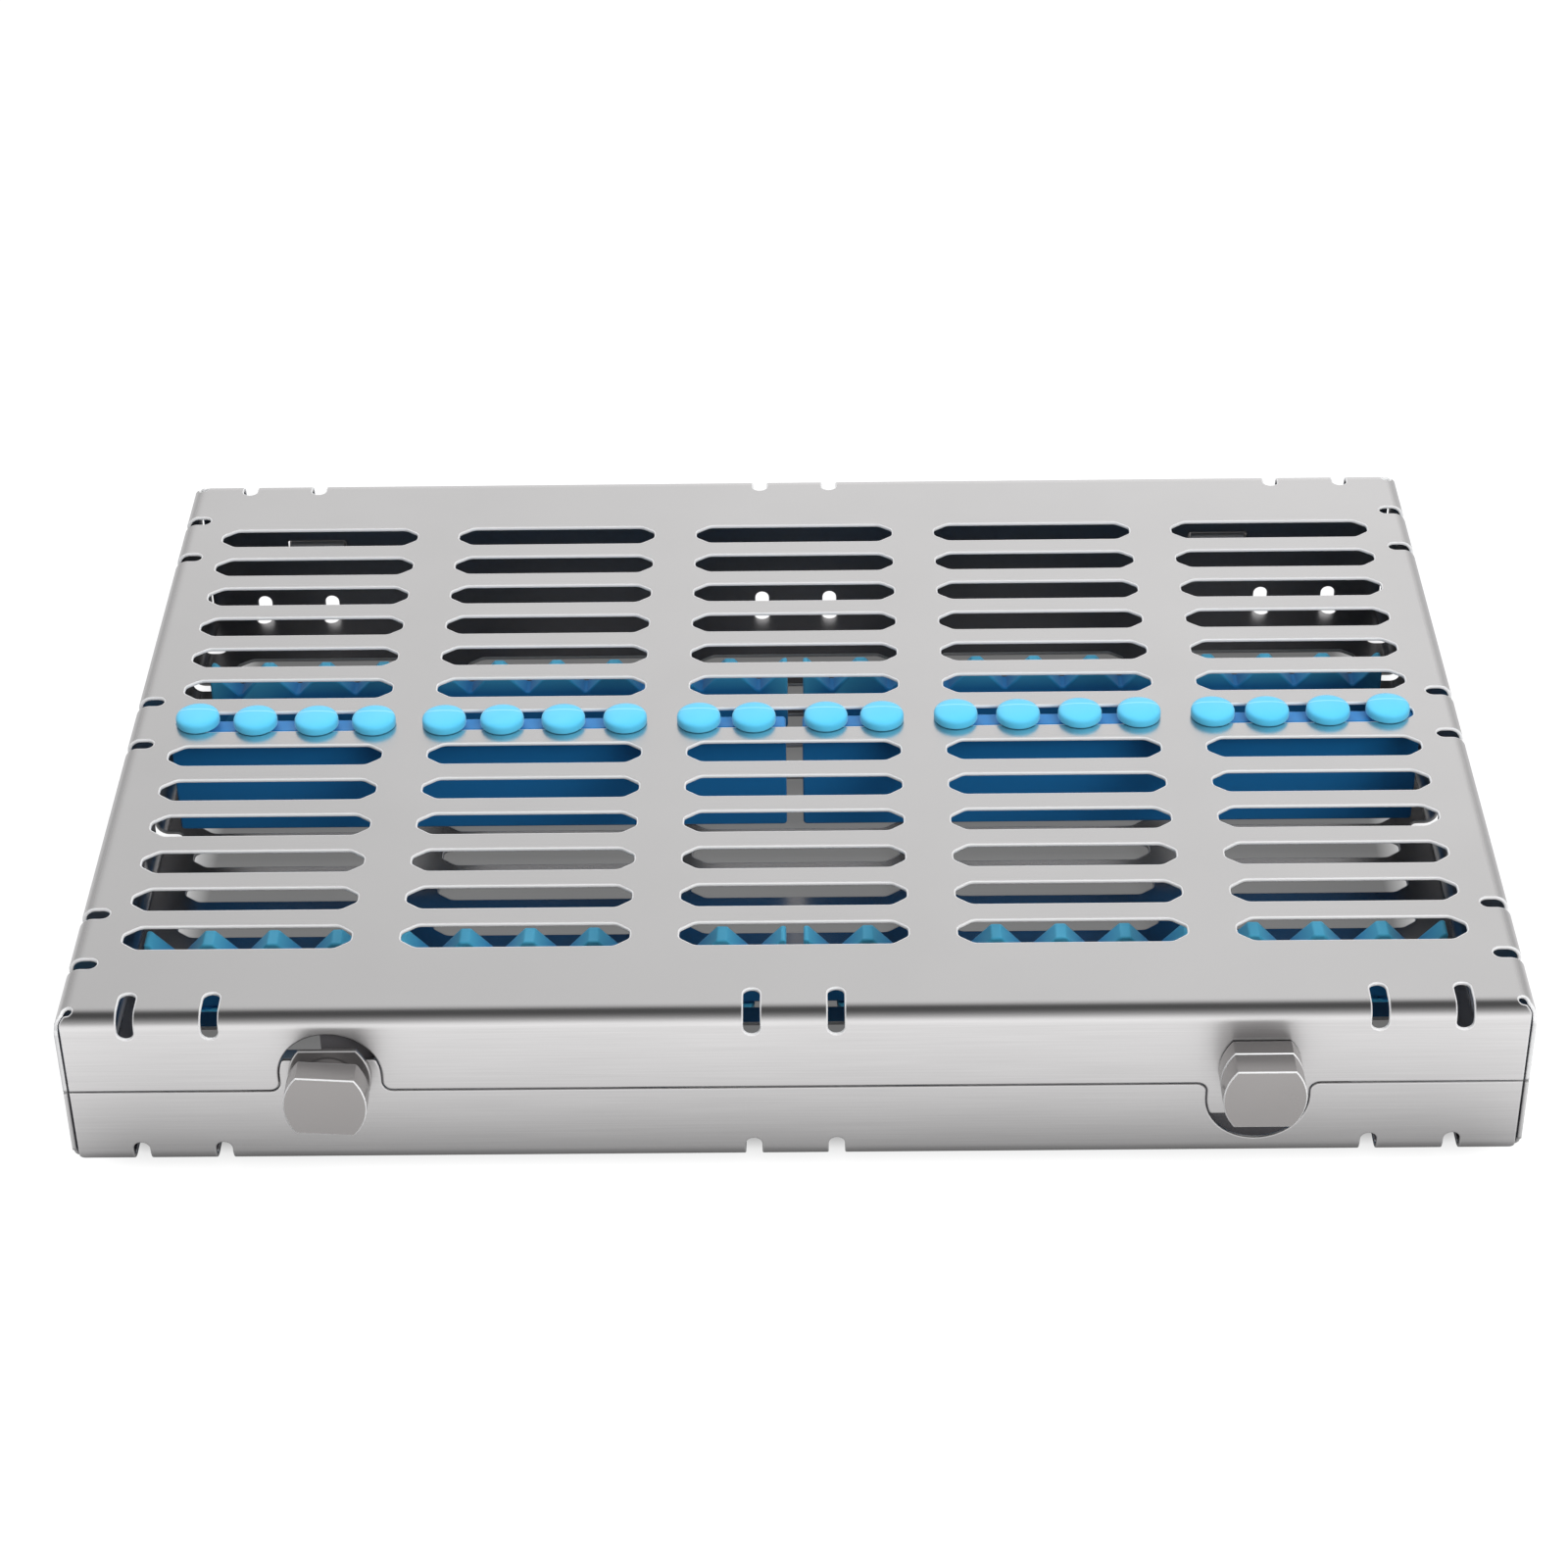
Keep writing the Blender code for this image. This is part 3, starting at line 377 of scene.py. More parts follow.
def bend_lines():
    """Both ends of every line along which the sheet bends, (count, 2, 2). At the corners the lines
    follow the mitre of the flaps' ends and stop short of it."""
    bend = np.r_[-GUARD, np.linspace(0, FOLD_ARC, BEND_STEPS + 1), FOLD_ARC + GUARD]
    gap = NOTCH_WIDTH / 2 + DEPTHS[-1] + GUARD
    lines = []
    for axis, flat, stops in ((1, FLAT_Y, NOTCHES_X), (0, FLAT_X, NOTCHES_Y)):
        spans = broken_line(stops, (FLAT_X, FLAT_Y)[1 - axis] - 1.9 * MM, gap)
        across = np.concatenate((flat + bend, -flat - bend))
        ends = np.empty((len(across), len(spans), 2, 2))
        ends[..., 1 - axis] = spans
        further = np.tile(FOLD_RADIUS * np.sin(np.clip(bend / FOLD_RADIUS, 0, 0.9)), 2)
        ends[:, 0, 0, 1 - axis] -= further
        ends[:, -1, 1, 1 - axis] += further
        ends[..., axis] = across[:, None, None]
        lines.append(ends.reshape(-1, 2, 2))
    turns = np.arange(0, ROLL_TURN - ROLL_STEP, ROLL_STEP) * ROLL_RADIUS
    reach = FLAT_Y + ROLL_START + np.r_[-GUARD, turns]
    for inner, outer, _ in TONGUES:
        ends = np.empty((len(reach), 2, 2))
        ends[..., 0] = (outer + 1.6 * GUARD, inner - 1.6 * GUARD)
        ends[..., 1] = reach[:, None]
        lines.append(ends)
    return np.concatenate(lines)


def triangulated(stacks):
    """Points, triangles, ring edges, and each point's depth level and painted rim highlight, for a
    sheet with these rings, the outline first. Holes have a painted highlight on their rim, the
    outline only at its corners. A triangle is air, and left out, where all its corners are on the
    rim of the same ring."""
    parts, rims = [], []
    count = ring_count = 0
    for stack in stacks:
        number, size = stack.shape[:2]
        total = number * size
        rings = np.repeat(ring_count + np.arange(number), size)
        # The outline gets the painted highlight only at its corners.
        corner_highlight = np.all(np.abs(stack) > CORNER, axis=-1).ravel() if ring_count == 0 else 1.0
        for level, depth in enumerate(DEPTHS):
            index = count + np.arange(total).reshape(number, size)
            edges = np.stack((index, np.roll(index, -1, axis=1)), axis=-1).reshape(-1, 2)
            if level == 0:
                rims.append(edges)
            shine = np.full(total, RIM_HIGHLIGHT[level]) * corner_highlight
            parts.append((inset(stack, depth).reshape(-1, 2), edges, rings, np.full(total, level), shine))
            count += total
        ring_count += number
    ends = bend_lines().reshape(-1, 2)
    total = len(ends)
    edges = np.arange(count, count + total).reshape(-1, 2)
    parts.append((ends, edges, np.full(total, -1), np.full(total, len(DEPTHS) - 1), np.zeros(total)))
    points, edges, rings, levels, shine = (np.concatenate(part) for part in zip(*parts))

    found = delaunay_2d_cdt([Vector(point) for point in points / MM], edges.tolist(), [], 0, 1e-6)
    extra = [tuple(place) for place, old in zip(found[0], found[3]) if not old]
    if extra:
        print("warning: edges cross at", extra)
    source = np.array([old[0] for old in found[3]])
    triangles = source[np.array(found[2])]
    corner_rings = rings[triangles]
    air = np.all(levels[triangles] == 0, axis=1) & np.all(corner_rings == corner_rings[:, :1], axis=1)
    return points, triangles[~air], np.concatenate(rims), levels, shine


# %% [markdown]
# ## Folding
# Folding is one function from the flat blank to space. Past the floor's edge a point first runs
# round a quarter circle and then straight up the wall. On a tongue it goes on round the hinge
# pin. Each point also moves along the sheet's normal, to one face or the other.


# %% Fold
def folded(points, lift):
    """Where a point of the blank lands, moved along the outer normal by its lift.

    The overshoot past the floor's edge, divided by the fold radius, is the bend angle, up to a
    quarter turn. The rest of the overshoot goes straight up. Past the roll's start, the overshoot
    divided by the roll radius is the angle travelled round the hinge pin, from its near side over
    its top.
    """
    over = np.abs(points) - (FLAT_X, FLAT_Y)
    along_y = over[:, 1] >= over[:, 0]
    reach = np.maximum(np.where(along_y, over[:, 1], over[:, 0]), 0)
    angle = np.clip(reach / FOLD_RADIUS, 0, np.pi / 2)
    rise = SHEET / 2 + FOLD_RADIUS * (1 - np.cos(angle)) + np.maximum(reach - FOLD_ARC, 0) - lift * np.cos(angle)
    out = (FOLD_RADIUS + lift) * np.sin(angle)
    sign = np.sign(points)
    x = np.where(along_y | (reach == 0), points[:, 0], sign[:, 0] * (FLAT_X + out))
    y = np.where(along_y & (reach > 0), sign[:, 1] * (FLAT_Y + out), points[:, 1])
    rolled = along_y & (points[:, 1] > 0) & (reach > ROLL_START)
    turn = np.pi - (reach - ROLL_START) / ROLL_RADIUS
    radius = ROLL_RADIUS - lift
    y = np.where(rolled, HALF_WIDTH - SHEET / 2 + ROLL_RADIUS + radius * np.cos(turn), y)
    rise = np.where(rolled, TRAY_HEIGHT + radius * np.sin(turn), rise)
    return np.stack((x, y, rise), axis=1)


# %% Mesh helpers
def new_piece(name, points, faces, body, slot, replaces, sharp=None):
    """A piece at the origin from arrays, closed and facing outwards, that rides on a CAD body. Edges
    that turn more than the sharp angle stay crisp."""
    mesh = bpy.data.meshes.new(name)
    mesh.from_pydata(points, [], [face for group in faces for face in np.asarray(group).tolist()])
    bm = bmesh.new()
    bm.from_mesh(mesh)
    bmesh.ops.remove_doubles(bm, verts=bm.verts, dist=1e-6)
    bmesh.ops.dissolve_degenerate(bm, edges=bm.edges, dist=1e-7)
    bmesh.ops.recalc_face_normals(bm, faces=bm.faces)
    bm.to_mesh(mesh)
    bm.free()
    mesh.shade_smooth()
    if sharp:
        mesh.set_sharp_from_angle(angle=np.radians(sharp))
    piece = bpy.data.objects.new(name, mesh)
    bpy.context.scene.collection.objects.link(piece)
    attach(piece, body)
    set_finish(piece, slot)
    if replaces:
        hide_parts(*replaces)
    print(name, "triangles", sum(len(polygon.vertices) - 2 for polygon in mesh.polygons))
    return piece


def set_mask(piece, name, values):
    """A number per point of the piece, for its material."""
    if len(values) != len(piece.data.vertices):
        print("warning: points were merged in", piece.name)
    piece.data.attributes.new(name, "FLOAT", "POINT").data.foreach_set("value", values)


def placed(points, turned_over=False):
    """From the tray's own frame to the model's: the lid is the tray turned half a turn about the Y
    axis at the parting height."""
    if turned_over:
        points = points * (-1, 1, -1) + (0, 0, 2 * TRAY_HEIGHT)
    return points + (0, MIDDLE_Y, FLOOR_Z)


# %% Make the two trays
def make_tray(name, shaft_height, turned_over, body, node, highlight_strength):
    """Both faces of the folded sheet, and the rim strips that close them. The masks say where a
    hole's rim carries a painted highlight, where the inner face carries painted shade, deepest on
    the floor near the front wall, and where the brushed walls are."""
    stacks = [outline[np.newaxis]] + blank_holes(shaft_height)
    points, triangles, rims, levels, shine = triangulated(stacks)
    half = HALF_SHEET[levels]
    both = np.concatenate((folded(points, half), folded(points, -half)))
    count = len(points)
    strips = np.concatenate((rims[:, ::-1], rims + count), axis=1)
    faces = (triangles[:, ::-1], triangles + count, strips)
    piece = new_piece(name, placed(both, turned_over), faces, body, "tray_steel", [node])
    flat = np.column_stack((points, np.zeros(count)))
    over = np.max(np.abs(points) - (FLAT_X, FLAT_Y), axis=1)
    wall = np.clip(over / FOLD_ARC, 0, 1)
    # Painted shade on the inner face: 0.45 everywhere, rising to 0.95 on the floor near the front wall.
    inner_shade = 0.45 + 0.5 * np.clip((-points[:, 1] - FLAT_Y + 20 * MM) / (8 * MM), 0, 1) * (over < 0)
    set_mask(piece, "painted_rim_highlight", np.tile(shine * highlight_strength, 2))
    set_mask(piece, "painted_inner_shade", np.r_[np.zeros(count), inner_shade])
    set_mask(piece, "brushed_wall", np.tile(wall, 2))
    blank = piece.data.attributes.new("blank_place", "FLOAT_VECTOR", "POINT")
    blank.data.foreach_set("vector", np.tile(flat, (2, 1)).ravel())


# The base's rims get a weaker painted highlight than the lid's.
make_tray("base_sheet", LATCH_RISE, False, "base", "base_tray", 0.3)
make_tray("lid_sheet", 2 * TRAY_HEIGHT - LATCH_RISE, True, "lid", "lid_tray", 1.0)


# %% [markdown]
# ## Plates and turned pieces
# The remaining pieces are either plates of one outline with a rounded or chamfered rim, or bodies
# turned about an axis. A plate is a grid: one row of points per step of the rim, from the cap over
# the edge and down to the other cap. A turned piece is a grid of profile points by turns.


# %% Grids for plates and turned pieces
def plate(ring, thickness, rim, steps):
    """A plate about the plane of its ring: (points, faces). Down the rim the inset is the rim radius
    times one minus the sine of an angle, and the drop is the radius times one minus its cosine; a
    single step gives a chamfer. An extra row beside each rim keeps caps and side flat to the eye."""
    angle = np.linspace(0, np.pi / 2, steps + 1)
    inward = np.r_[1.2 * rim, rim * (1 - np.sin(angle)), 0]
    height = thickness / 2 - np.r_[0, rim * (1 - np.cos(angle)), 1.2 * rim]
    inward, height = np.r_[inward, inward[::-1]], np.r_[height, -height[::-1]]
    rows = [np.column_stack((inset(ring, depth), np.full(len(ring), level))) for depth, level in zip(inward, height)]
    points = np.concatenate(rows)
    index = np.arange(len(points)).reshape(len(rows), -1)
    return points, [grid_faces(len(rows), len(ring), closed_columns=True), index[:1], index[-1:, ::-1]]


def upright(points, y=0.0):
    """A plate drawn in X and Y stood up in X and Z, its thickness along Y."""
    return points[:, (0, 2, 1)] * (1, -1, 1) + (0, y, 0)


def turned(profile, steps, places=((0, 0, 0),)):
    """A profile of (radius, height) turned about Z, once about each place: a point is the radius
    times the cosine and sine of the turn, at its height. Ends at radius 0 close into poles."""
    angle = np.linspace(0, 2 * np.pi, steps, endpoint=False)
    radius, height = np.array(profile, float).T[:, :, None]
    body = np.stack(np.broadcast_arrays(radius * np.cos(angle), radius * np.sin(angle), height), axis=-1)
    points = np.array(places, float)[:, None, None, :] + body
    faces = grid_faces(len(profile), steps, closed_columns=True)
    offset = np.arange(len(places)) * len(profile) * steps
    return points.reshape(-1, 3), (faces + offset[:, None, None]).reshape(-1, 4)


def joined(parts):
    """Several (points, faces) as one."""
    counts = np.cumsum([0] + [len(points) for points, _ in parts])
    groups = [np.asarray(group) + start for start, (_, faces) in zip(counts, parts) for group in faces]
    return np.concatenate([points for points, _ in parts]), groups


print("plates and turned pieces ready")

# %% [markdown]
# ## Silicone rails, strips and pegs
# Four toothed rails stand on the floor, and each rest between two teeth takes one instrument. Two
# plain strips under the lid press down on them. All are moulded in one piece with pegs: a peg's
# neck goes through a slot and its domed head holds it from outside. The heads under the base are
# the cassette's feet. Tooth tips and bottoms are rounded as moulded silicone is.

# %% Make the silicone
CLEAR = 0.3 * MM
ON_FLOOR, UNDER_LID = SHEET + CLEAR, 2 * TRAY_HEIGHT - SHEET - CLEAR
STRIP_GAP = 3.5 * MM
STRIP_LENGTH = HALF_LENGTH - STRIP_GAP / 2 - 8.25 * MM
TEETH, TOOTH_TOP, TOOTH_DEPTH, TOOTH_FLOOR = 10, 2.0 * MM, 5.6 * MM, 0.8 * MM
RAIL_THICK, RAIL_TOP, RAIL_Y = 5.0 * MM, 17.0 * MM, 4 * ROW_PITCH
HOLD_THICK, HOLD_BOTTOM = 4.2 * MM, 9.7 * MM
PEG_PROFILE = MM * np.array(
    (
        (0, 3.70), (1.4, 3.67), (2.6, 3.57), (3.5, 3.38), (4.0, 3.19), (4.3, 3.00), (4.47, 2.78), (4.56, 2.52),
        (4.60, 2.20), (4.60, 1.40), (4.57, 1.24), (4.48, 1.15), (4.36, 1.12), (2.40, 1.12), (2.16, 1.05),
        (2.10, 0.90), (2.10, -1.5), (0, -1.5),
    )
)


def tooth_ring():
    """A right-hand rail seen from the front: a comb with V-shaped rests, its corners rounded."""
    start = STRIP_GAP / 2
    pitch = STRIP_LENGTH / TEETH
    middle = start + (np.arange(TEETH)[::-1, None] + 0.5) * pitch
    half = (pitch - TOOTH_TOP) / 2
    x = middle + (half, TOOTH_FLOOR / 2, -TOOTH_FLOOR / 2, -half)
    z = np.broadcast_to((RAIL_TOP, RAIL_TOP - TOOTH_DEPTH, RAIL_TOP - TOOTH_DEPTH, RAIL_TOP), x.shape)
    teeth = np.stack((x, z), axis=-1).reshape(-1, 2)
    end = start + STRIP_LENGTH
    ends = np.array(((start, ON_FLOOR), (end, ON_FLOOR), (end, RAIL_TOP)))
    ring = np.concatenate((ends, teeth, [(start, RAIL_TOP)]))
    radius = np.concatenate(([0.8, 0.8, 0.5], np.tile((0.8, 0.5, 0.5, 0.8), TEETH), [0.5])) * MM
    return fillet(ring, radius, 4)


def hold_ring():
    """A right-hand hold-down strip seen from the front: a plain bar with rounded corners."""
    start, end = STRIP_GAP / 2, STRIP_GAP / 2 + STRIP_LENGTH
    corners = ((start, HOLD_BOTTOM), (end, HOLD_BOTTOM), (end, UNDER_LID), (start, UNDER_LID))
    return fillet(np.array(corners), 0.8 * MM, 4)


def peg_places(pitch, steps, peg_pitch):
    """(x, y) of the pegs of a right-hand strip: the same steps about each of three slots, those left
    of the middle dropped."""
    x = (np.arange(3)[:, None] * pitch + np.array(steps) * peg_pitch).ravel()
    x = x[x > 0]
    return np.stack((x, np.zeros(len(x))), axis=1)


def make_strip(name, ring, thickness, y, pegs, peg_z, upward, side, body):
    """A strip of this outline at Y with its pegs at (x, y); the left-hand one is mirrored. The masks
    say where the silicone carries painted shade, which is all of it inside the cassette but less
    towards the tooth tips, and how far a point of a head is from the head's middle."""
    points, faces = plate(ring, thickness, 0.4 * MM, 3)
    profile = PEG_PROFILE * (1, 1 if upward else -1)
    places = np.column_stack((pegs, np.full(len(pegs), peg_z)))
    peg_points, peg_faces = turned(profile, 40, places)
    points, faces = joined(((upright(points), faces), (peg_points, [peg_faces])))
    piece = new_piece(f"{name}_fine", placed(points * (side, 1, 1) + (0, y, 0)), faces, body, "silicone", [name])
    place = np.empty(3 * len(piece.data.vertices))
    piece.data.vertices.foreach_get("co", place)
    x, across, height = place.reshape(-1, 3).T - ((0,), (MIDDLE_Y + y,), (FLOOR_Z,))
    nearest = np.argmin(np.abs(x[:, None] * side - pegs[:, 0]), axis=1)
    # Painted shade: 1 inside the cassette, less towards the tooth tips, none on the heads outside.
    tooth = 0.0 if upward else np.clip((height - RAIL_TOP) / (0.7 * TOOTH_DEPTH) + 1.4, 0, 1)
    shade = np.ones(len(height)) - 0.9 * tooth
    outside = (height < 0) | (height > 2 * TRAY_HEIGHT)
    set_mask(piece, "painted_shade", np.where(outside, 0.0, shade))
    set_mask(piece, "head_across", np.where(outside, across - pegs[nearest, 1], 1.0))


rail_pegs = peg_places(COLUMN_PITCH, (-0.5, 0.5), SLOT_LENGTH - 2 * 9.2 * MM)
hold_pegs = peg_places(COLUMN_PITCH - 0.5 * MM, (-1.5, -0.5, 0.5, 1.5), (SLOT_LENGTH - 2 * 3.6 * MM) / 3)
# Pulled through by hand, the pegs under the lid sit a little off their pitch, within the slot's play.
PEGS_OFF = {
    "left": (
        (2.2, -1.4), (1.4, -1.4), (0.6, -1.4), (1.2, -1.4), (1.7, -1.4), (1.5, -1.4), (0, -1.3), (-0.3, -1.2),
        (0.2, -0.9), (0.1, 0),
    ),
    "right": (
        (0.5, -1.4), (-0.1, -1.4), (-0.9, -0.9), (-0.2, -1.1), (0.4, -0.9), (0.4, -0.8), (-0.4, -0.8),
        (-1.4, -0.9), (-1.0, -0.7), (-0.8, -0.2),
    ),
}
for hand, side in (("left", -1), ("right", 1)):
    for row, y in (("front", -RAIL_Y), ("rear", RAIL_Y)):
        name = f"rail_{row}_{hand}"
        make_strip(name, tooth_ring(), RAIL_THICK, y, rail_pegs, ON_FLOOR, False, side, "base")
    pegs = hold_pegs + np.array(PEGS_OFF[hand]) * MM
    make_strip(f"hold_down_{hand}", hold_ring(), HOLD_THICK, 0.0, pegs, UNDER_LID, True, side, "lid")

# %% [markdown]
# ## Latches and hinge pins
# Each latch is a knob, round but cut off flat above and below, on a shaft through a collar of the
# same outline. The left collar is a thin plate on the base, the right one a thick block on the
# lid. Their edges have a small chamfer, one step of the plate's rim, which carries a painted
# highlight. The shaft is turned. The pins are plain rods with rounded ends, turned and laid along X.

# %% Make the latches and pins
KNOB_WIDTH, KNOB_HEIGHT, KNOB_FLAT = 15.8 * MM, 13.4 * MM, 11.0 * MM
KNOB_DEPTH, KNOB_REACH, KNOB_CHAMFER, KNOB_TILT = 5.2 * MM, 9.7 * MM, 0.20 * MM, 4.0
SHAFT_RADIUS, NECK_RADIUS, SHAFT_INSIDE = 2.5 * MM, 5.2 * MM, 3.5 * MM
# Painted highlight on the chamfer rows of a plate's rim.
CHAMFER_HIGHLIGHT = (0, 1, 1, 0, 0, 1, 1, 0)
PIN_RADIUS, PIN_HALF = 1.5 * MM, 13.45 * MM


def knob_ring():
    """A circle cut off flat above and below, anticlockwise. Each side is an arc through the ends of
    the flats and the widest point: its centre is found from where the two distances agree."""
    half_width, half_height, half_flat = KNOB_WIDTH / 2, KNOB_HEIGHT / 2, KNOB_FLAT / 2
    back = (half_width**2 - half_flat**2 - half_height**2) / (2 * (half_width - half_flat))
    radius = half_width - back
    opening = np.degrees(np.arcsin(half_height / radius))
    side = arc((back, 0), radius, -opening, opening, 28)
    return np.concatenate((side, -side))


def tilted(points, degrees):
    """Points turned clockwise about Y, as seen from the front."""
    turn = np.radians(degrees)
    x, y, z = points.T
    return np.stack((x * np.cos(turn) + z * np.sin(turn), y, z * np.cos(turn) - x * np.sin(turn)), axis=1)


def plate_between(front, rear):
    """The knob's outline as a chamfered plate between two distances in front of the wall."""
    points, faces = plate(knob_ring(), front - rear, KNOB_CHAMFER, 1)
    return upright(points, -(front + rear) / 2), faces


def make_latch(hand, x, collar_depth, collar_body, collar_highlight, tilt):
    """The collar, and the knob with its neck and shaft in one piece."""
    wall = np.array((x, -HALF_WIDTH, LATCH_RISE))
    collar, faces = plate_between(collar_depth + CLEAR, CLEAR)
    points = placed(collar + wall)
    piece = new_piece(f"collar_{hand}_fine", points, faces, collar_body, "turned_steel", [f"collar_{hand}"], 25)
    set_mask(piece, "painted_rim_highlight", np.repeat(CHAMFER_HIGHLIGHT, len(collar) // 8) * collar_highlight)

    knob = plate_between(KNOB_REACH, KNOB_REACH - KNOB_DEPTH)
    neck_end = collar_depth + 2 * CLEAR
    neck = NECK_RADIUS if KNOB_REACH - KNOB_DEPTH - neck_end > CLEAR else SHAFT_RADIUS
    middle = KNOB_REACH - KNOB_DEPTH / 2
    profile = [(0, middle), (neck, middle), (neck, neck_end), (SHAFT_RADIUS, neck_end)]
    profile += [(SHAFT_RADIUS, -SHAFT_INSIDE), (0, -SHAFT_INSIDE)]
    shaft, shaft_faces = turned(profile, 40)
    shaft = shaft[:, (0, 2, 1)] * (1, -1, 1)
    points, faces = joined((knob, (shaft, [shaft_faces])))
    points = tilted(points, tilt) + wall
    piece = new_piece(f"knob_{hand}_fine", placed(points), faces, f"latch_{hand}", "turned_steel", [f"knob_{hand}"], 25)
    shine = np.repeat(CHAMFER_HIGHLIGHT, len(knob[0]) // 8)
    set_mask(piece, "painted_rim_highlight", np.r_[shine, np.zeros(len(piece.data.vertices) - len(shine))])


# The left collar's chamfer gets a weaker painted highlight than the right one's.
make_latch("left", -LATCH_X, 1.0 * MM, "base", 0.4, KNOB_TILT)
make_latch("right", LATCH_X, 3.9 * MM, "lid", 1.0, 0.0)

round_end = PIN_RADIUS / 3
corner = arc((PIN_RADIUS - round_end, PIN_HALF - round_end), round_end, 90, 0, 5)
pin_profile = np.concatenate(([(0, PIN_HALF)], corner, (corner * (1, -1))[::-1], [(0, -PIN_HALF)]))
for hand, side in (("left", -1), ("right", 1)):
    points, faces = turned(pin_profile, 32)
    points = points[:, (2, 1, 0)] + (side * HINGE_X, hinge_y, hinge_z)
    new_piece(f"hinge_pin_{hand}_fine", points, [faces[:, ::-1]], "base", "turned_steel", [f"hinge_pin_{hand}"])

# %% [markdown]
# ## Finishes
# Three kinds of steel and one silicone cover the object. The sheet is satin rolled steel with a very
# fine grain along its length and faint cloudy marks from handling. The latch parts inside are painted
# dark, as painted shade, and the knobs are machined. Where a finish changes over a piece, the mesh
# carries a mask that says where: rims of holes and chamfers carry a painted highlight, the walls are
# brushed, the inner faces carry painted shade, and silicone inside the cassette carries painted shade
# of a deeper blue. Grain and clouds are used by more than one finish, so each is a node group that is
# built once.


# %% Node helpers
def add_node(tree, kind, inputs=None, **settings):
    """A node with its settings made. Each input takes a socket, which is linked, or a constant."""
    node = tree.nodes.new(kind)
    for key, value in settings.items():
        setattr(node, key, value)
    for key, value in (inputs or {}).items():
        if isinstance(value, bpy.types.NodeSocket):
            tree.links.new(value, node.inputs[key])
        else:
            node.inputs[key].default_value = value
    return node


def calculated(tree, operation, *values, kind="ShaderNodeMath"):
    """The result of a Math or Vector Math node on sockets and constants."""
    node = add_node(tree, kind, dict(enumerate(values)), operation=operation)
    return node.outputs[1 if operation == "LENGTH" else 0]


def ranged(tree, value, start, end, low=0.0, high=1.0):
    """A value spread so that its start becomes the low and its end the high, clamped."""
    inputs = {"Value": value, "From Min": start, "From Max": end, "To Min": low, "To Max": high}
    return add_node(tree, "ShaderNodeMapRange", inputs).outputs["Result"]


MIX_SOCKETS = {"RGBA": (6, 7, 2), "FLOAT": (2, 3, 0)}


def mixed(tree, factor, first, second, data="RGBA", blend="MIX"):
    """From one colour or number to another by a factor; each is a socket or a constant."""
    one, two, result = MIX_SOCKETS[data]
    first, second = ((*value, 1) if isinstance(value, tuple) else value for value in (first, second))
    inputs = {"Factor": factor, one: first, two: second}
    return add_node(tree, "ShaderNodeMix", inputs, data_type=data, blend_type=blend).outputs[result]


def mesh_attribute(tree, name, output="Fac"):
    """A number or place that the mesh carries per point."""
    return add_node(tree, "ShaderNodeAttribute", attribute_name=name).outputs[output]


def object_place(tree):
    """Object coordinates."""
    return add_node(tree, "ShaderNodeTexCoord").outputs["Object"]


print("node helpers ready")


# %% Node groups
def new_group(name, defaults):
    """An empty node group with a Vector, further inputs and one Value: (tree, inputs, output)."""
    tree = bpy.data.node_groups.new(name, "ShaderNodeTree")
    tree.interface.new_socket(name="Vector", in_out="INPUT", socket_type="NodeSocketVector")
    for label, value in defaults.items():
        kind = "NodeSocketFloat" if isinstance(value, float) else "NodeSocketVector"
        tree.interface.new_socket(name=label, in_out="INPUT", socket_type=kind).default_value = value
    tree.interface.new_socket(name="Value", in_out="OUTPUT", socket_type="NodeSocketFloat")
    return tree, add_node(tree, "NodeGroupInput").outputs, add_node(tree, "NodeGroupOutput").inputs["Value"]


def grain_group():
    """Fine streaks: noise on coordinates squeezed across the streaks, as a mask about 0.5."""
    tree, given, result = new_group("fine_grain", {"Scale": (60, 4000, 4000)})
    squeezed = calculated(tree, "MULTIPLY", given["Vector"], given["Scale"], kind="ShaderNodeVectorMath")
    noise = add_node(tree, "ShaderNodeTexNoise", {"Vector": squeezed, "Scale": 1.0, "Detail": 3.0})
    tree.links.new(noise.outputs["Fac"], result)
    return tree


def cloud_group():
    """Soft uneven marks: one low noise, between a lowest and a highest value."""
    tree, given, result = new_group("soft_clouds", {"Scale": 25.0, "Low": 0.0, "High": 1.0})
    inputs = {"Vector": given["Vector"], "Scale": given["Scale"], "Detail": 4.0}
    noise = add_node(tree, "ShaderNodeTexNoise", inputs).outputs["Fac"]
    tree.links.new(ranged(tree, noise, 0.3, 0.7, given["Low"], given["High"]), result)
    return tree


def use_group(tree, group, coordinates, **values):
    """The output of a node group placed in a material with its own values."""
    return add_node(tree, "ShaderNodeGroup", {"Vector": coordinates, **values}, node_tree=group).outputs[0]


grain, clouds = grain_group(), cloud_group()
print("node groups:", [group.name for group in bpy.data.node_groups])


# %% Materials
# The first colour is painted shade for the sheet's inner face, the last a painted highlight for rims and chamfers.
INNER_SHADE_COLOUR, LINE_COLOUR, RIM_HIGHLIGHT_COLOUR = (0.05, 0.045, 0.055), (0.35, 0.34, 0.34), (0.98, 0.975, 0.97)
BRUSHED_ROUGHNESS, RIM_ROUGHNESS, RIM_METALLIC = 0.38, 0.5, 0.2
# The single deeper blue is painted shade for silicone inside the cassette.
SILICONE_BLUES, SHADE_BLUE, LINE_BLUE = ((0.09, 0.61, 0.93), (0.11, 0.64, 0.95)), (0.006, 0.205, 0.53), (0.5, 0.9, 1.0)
MOULD_LINE, LINE_STRENGTH = 1.2 * MM, 0.55
BUMP_DEPTH = 0.01 * MM


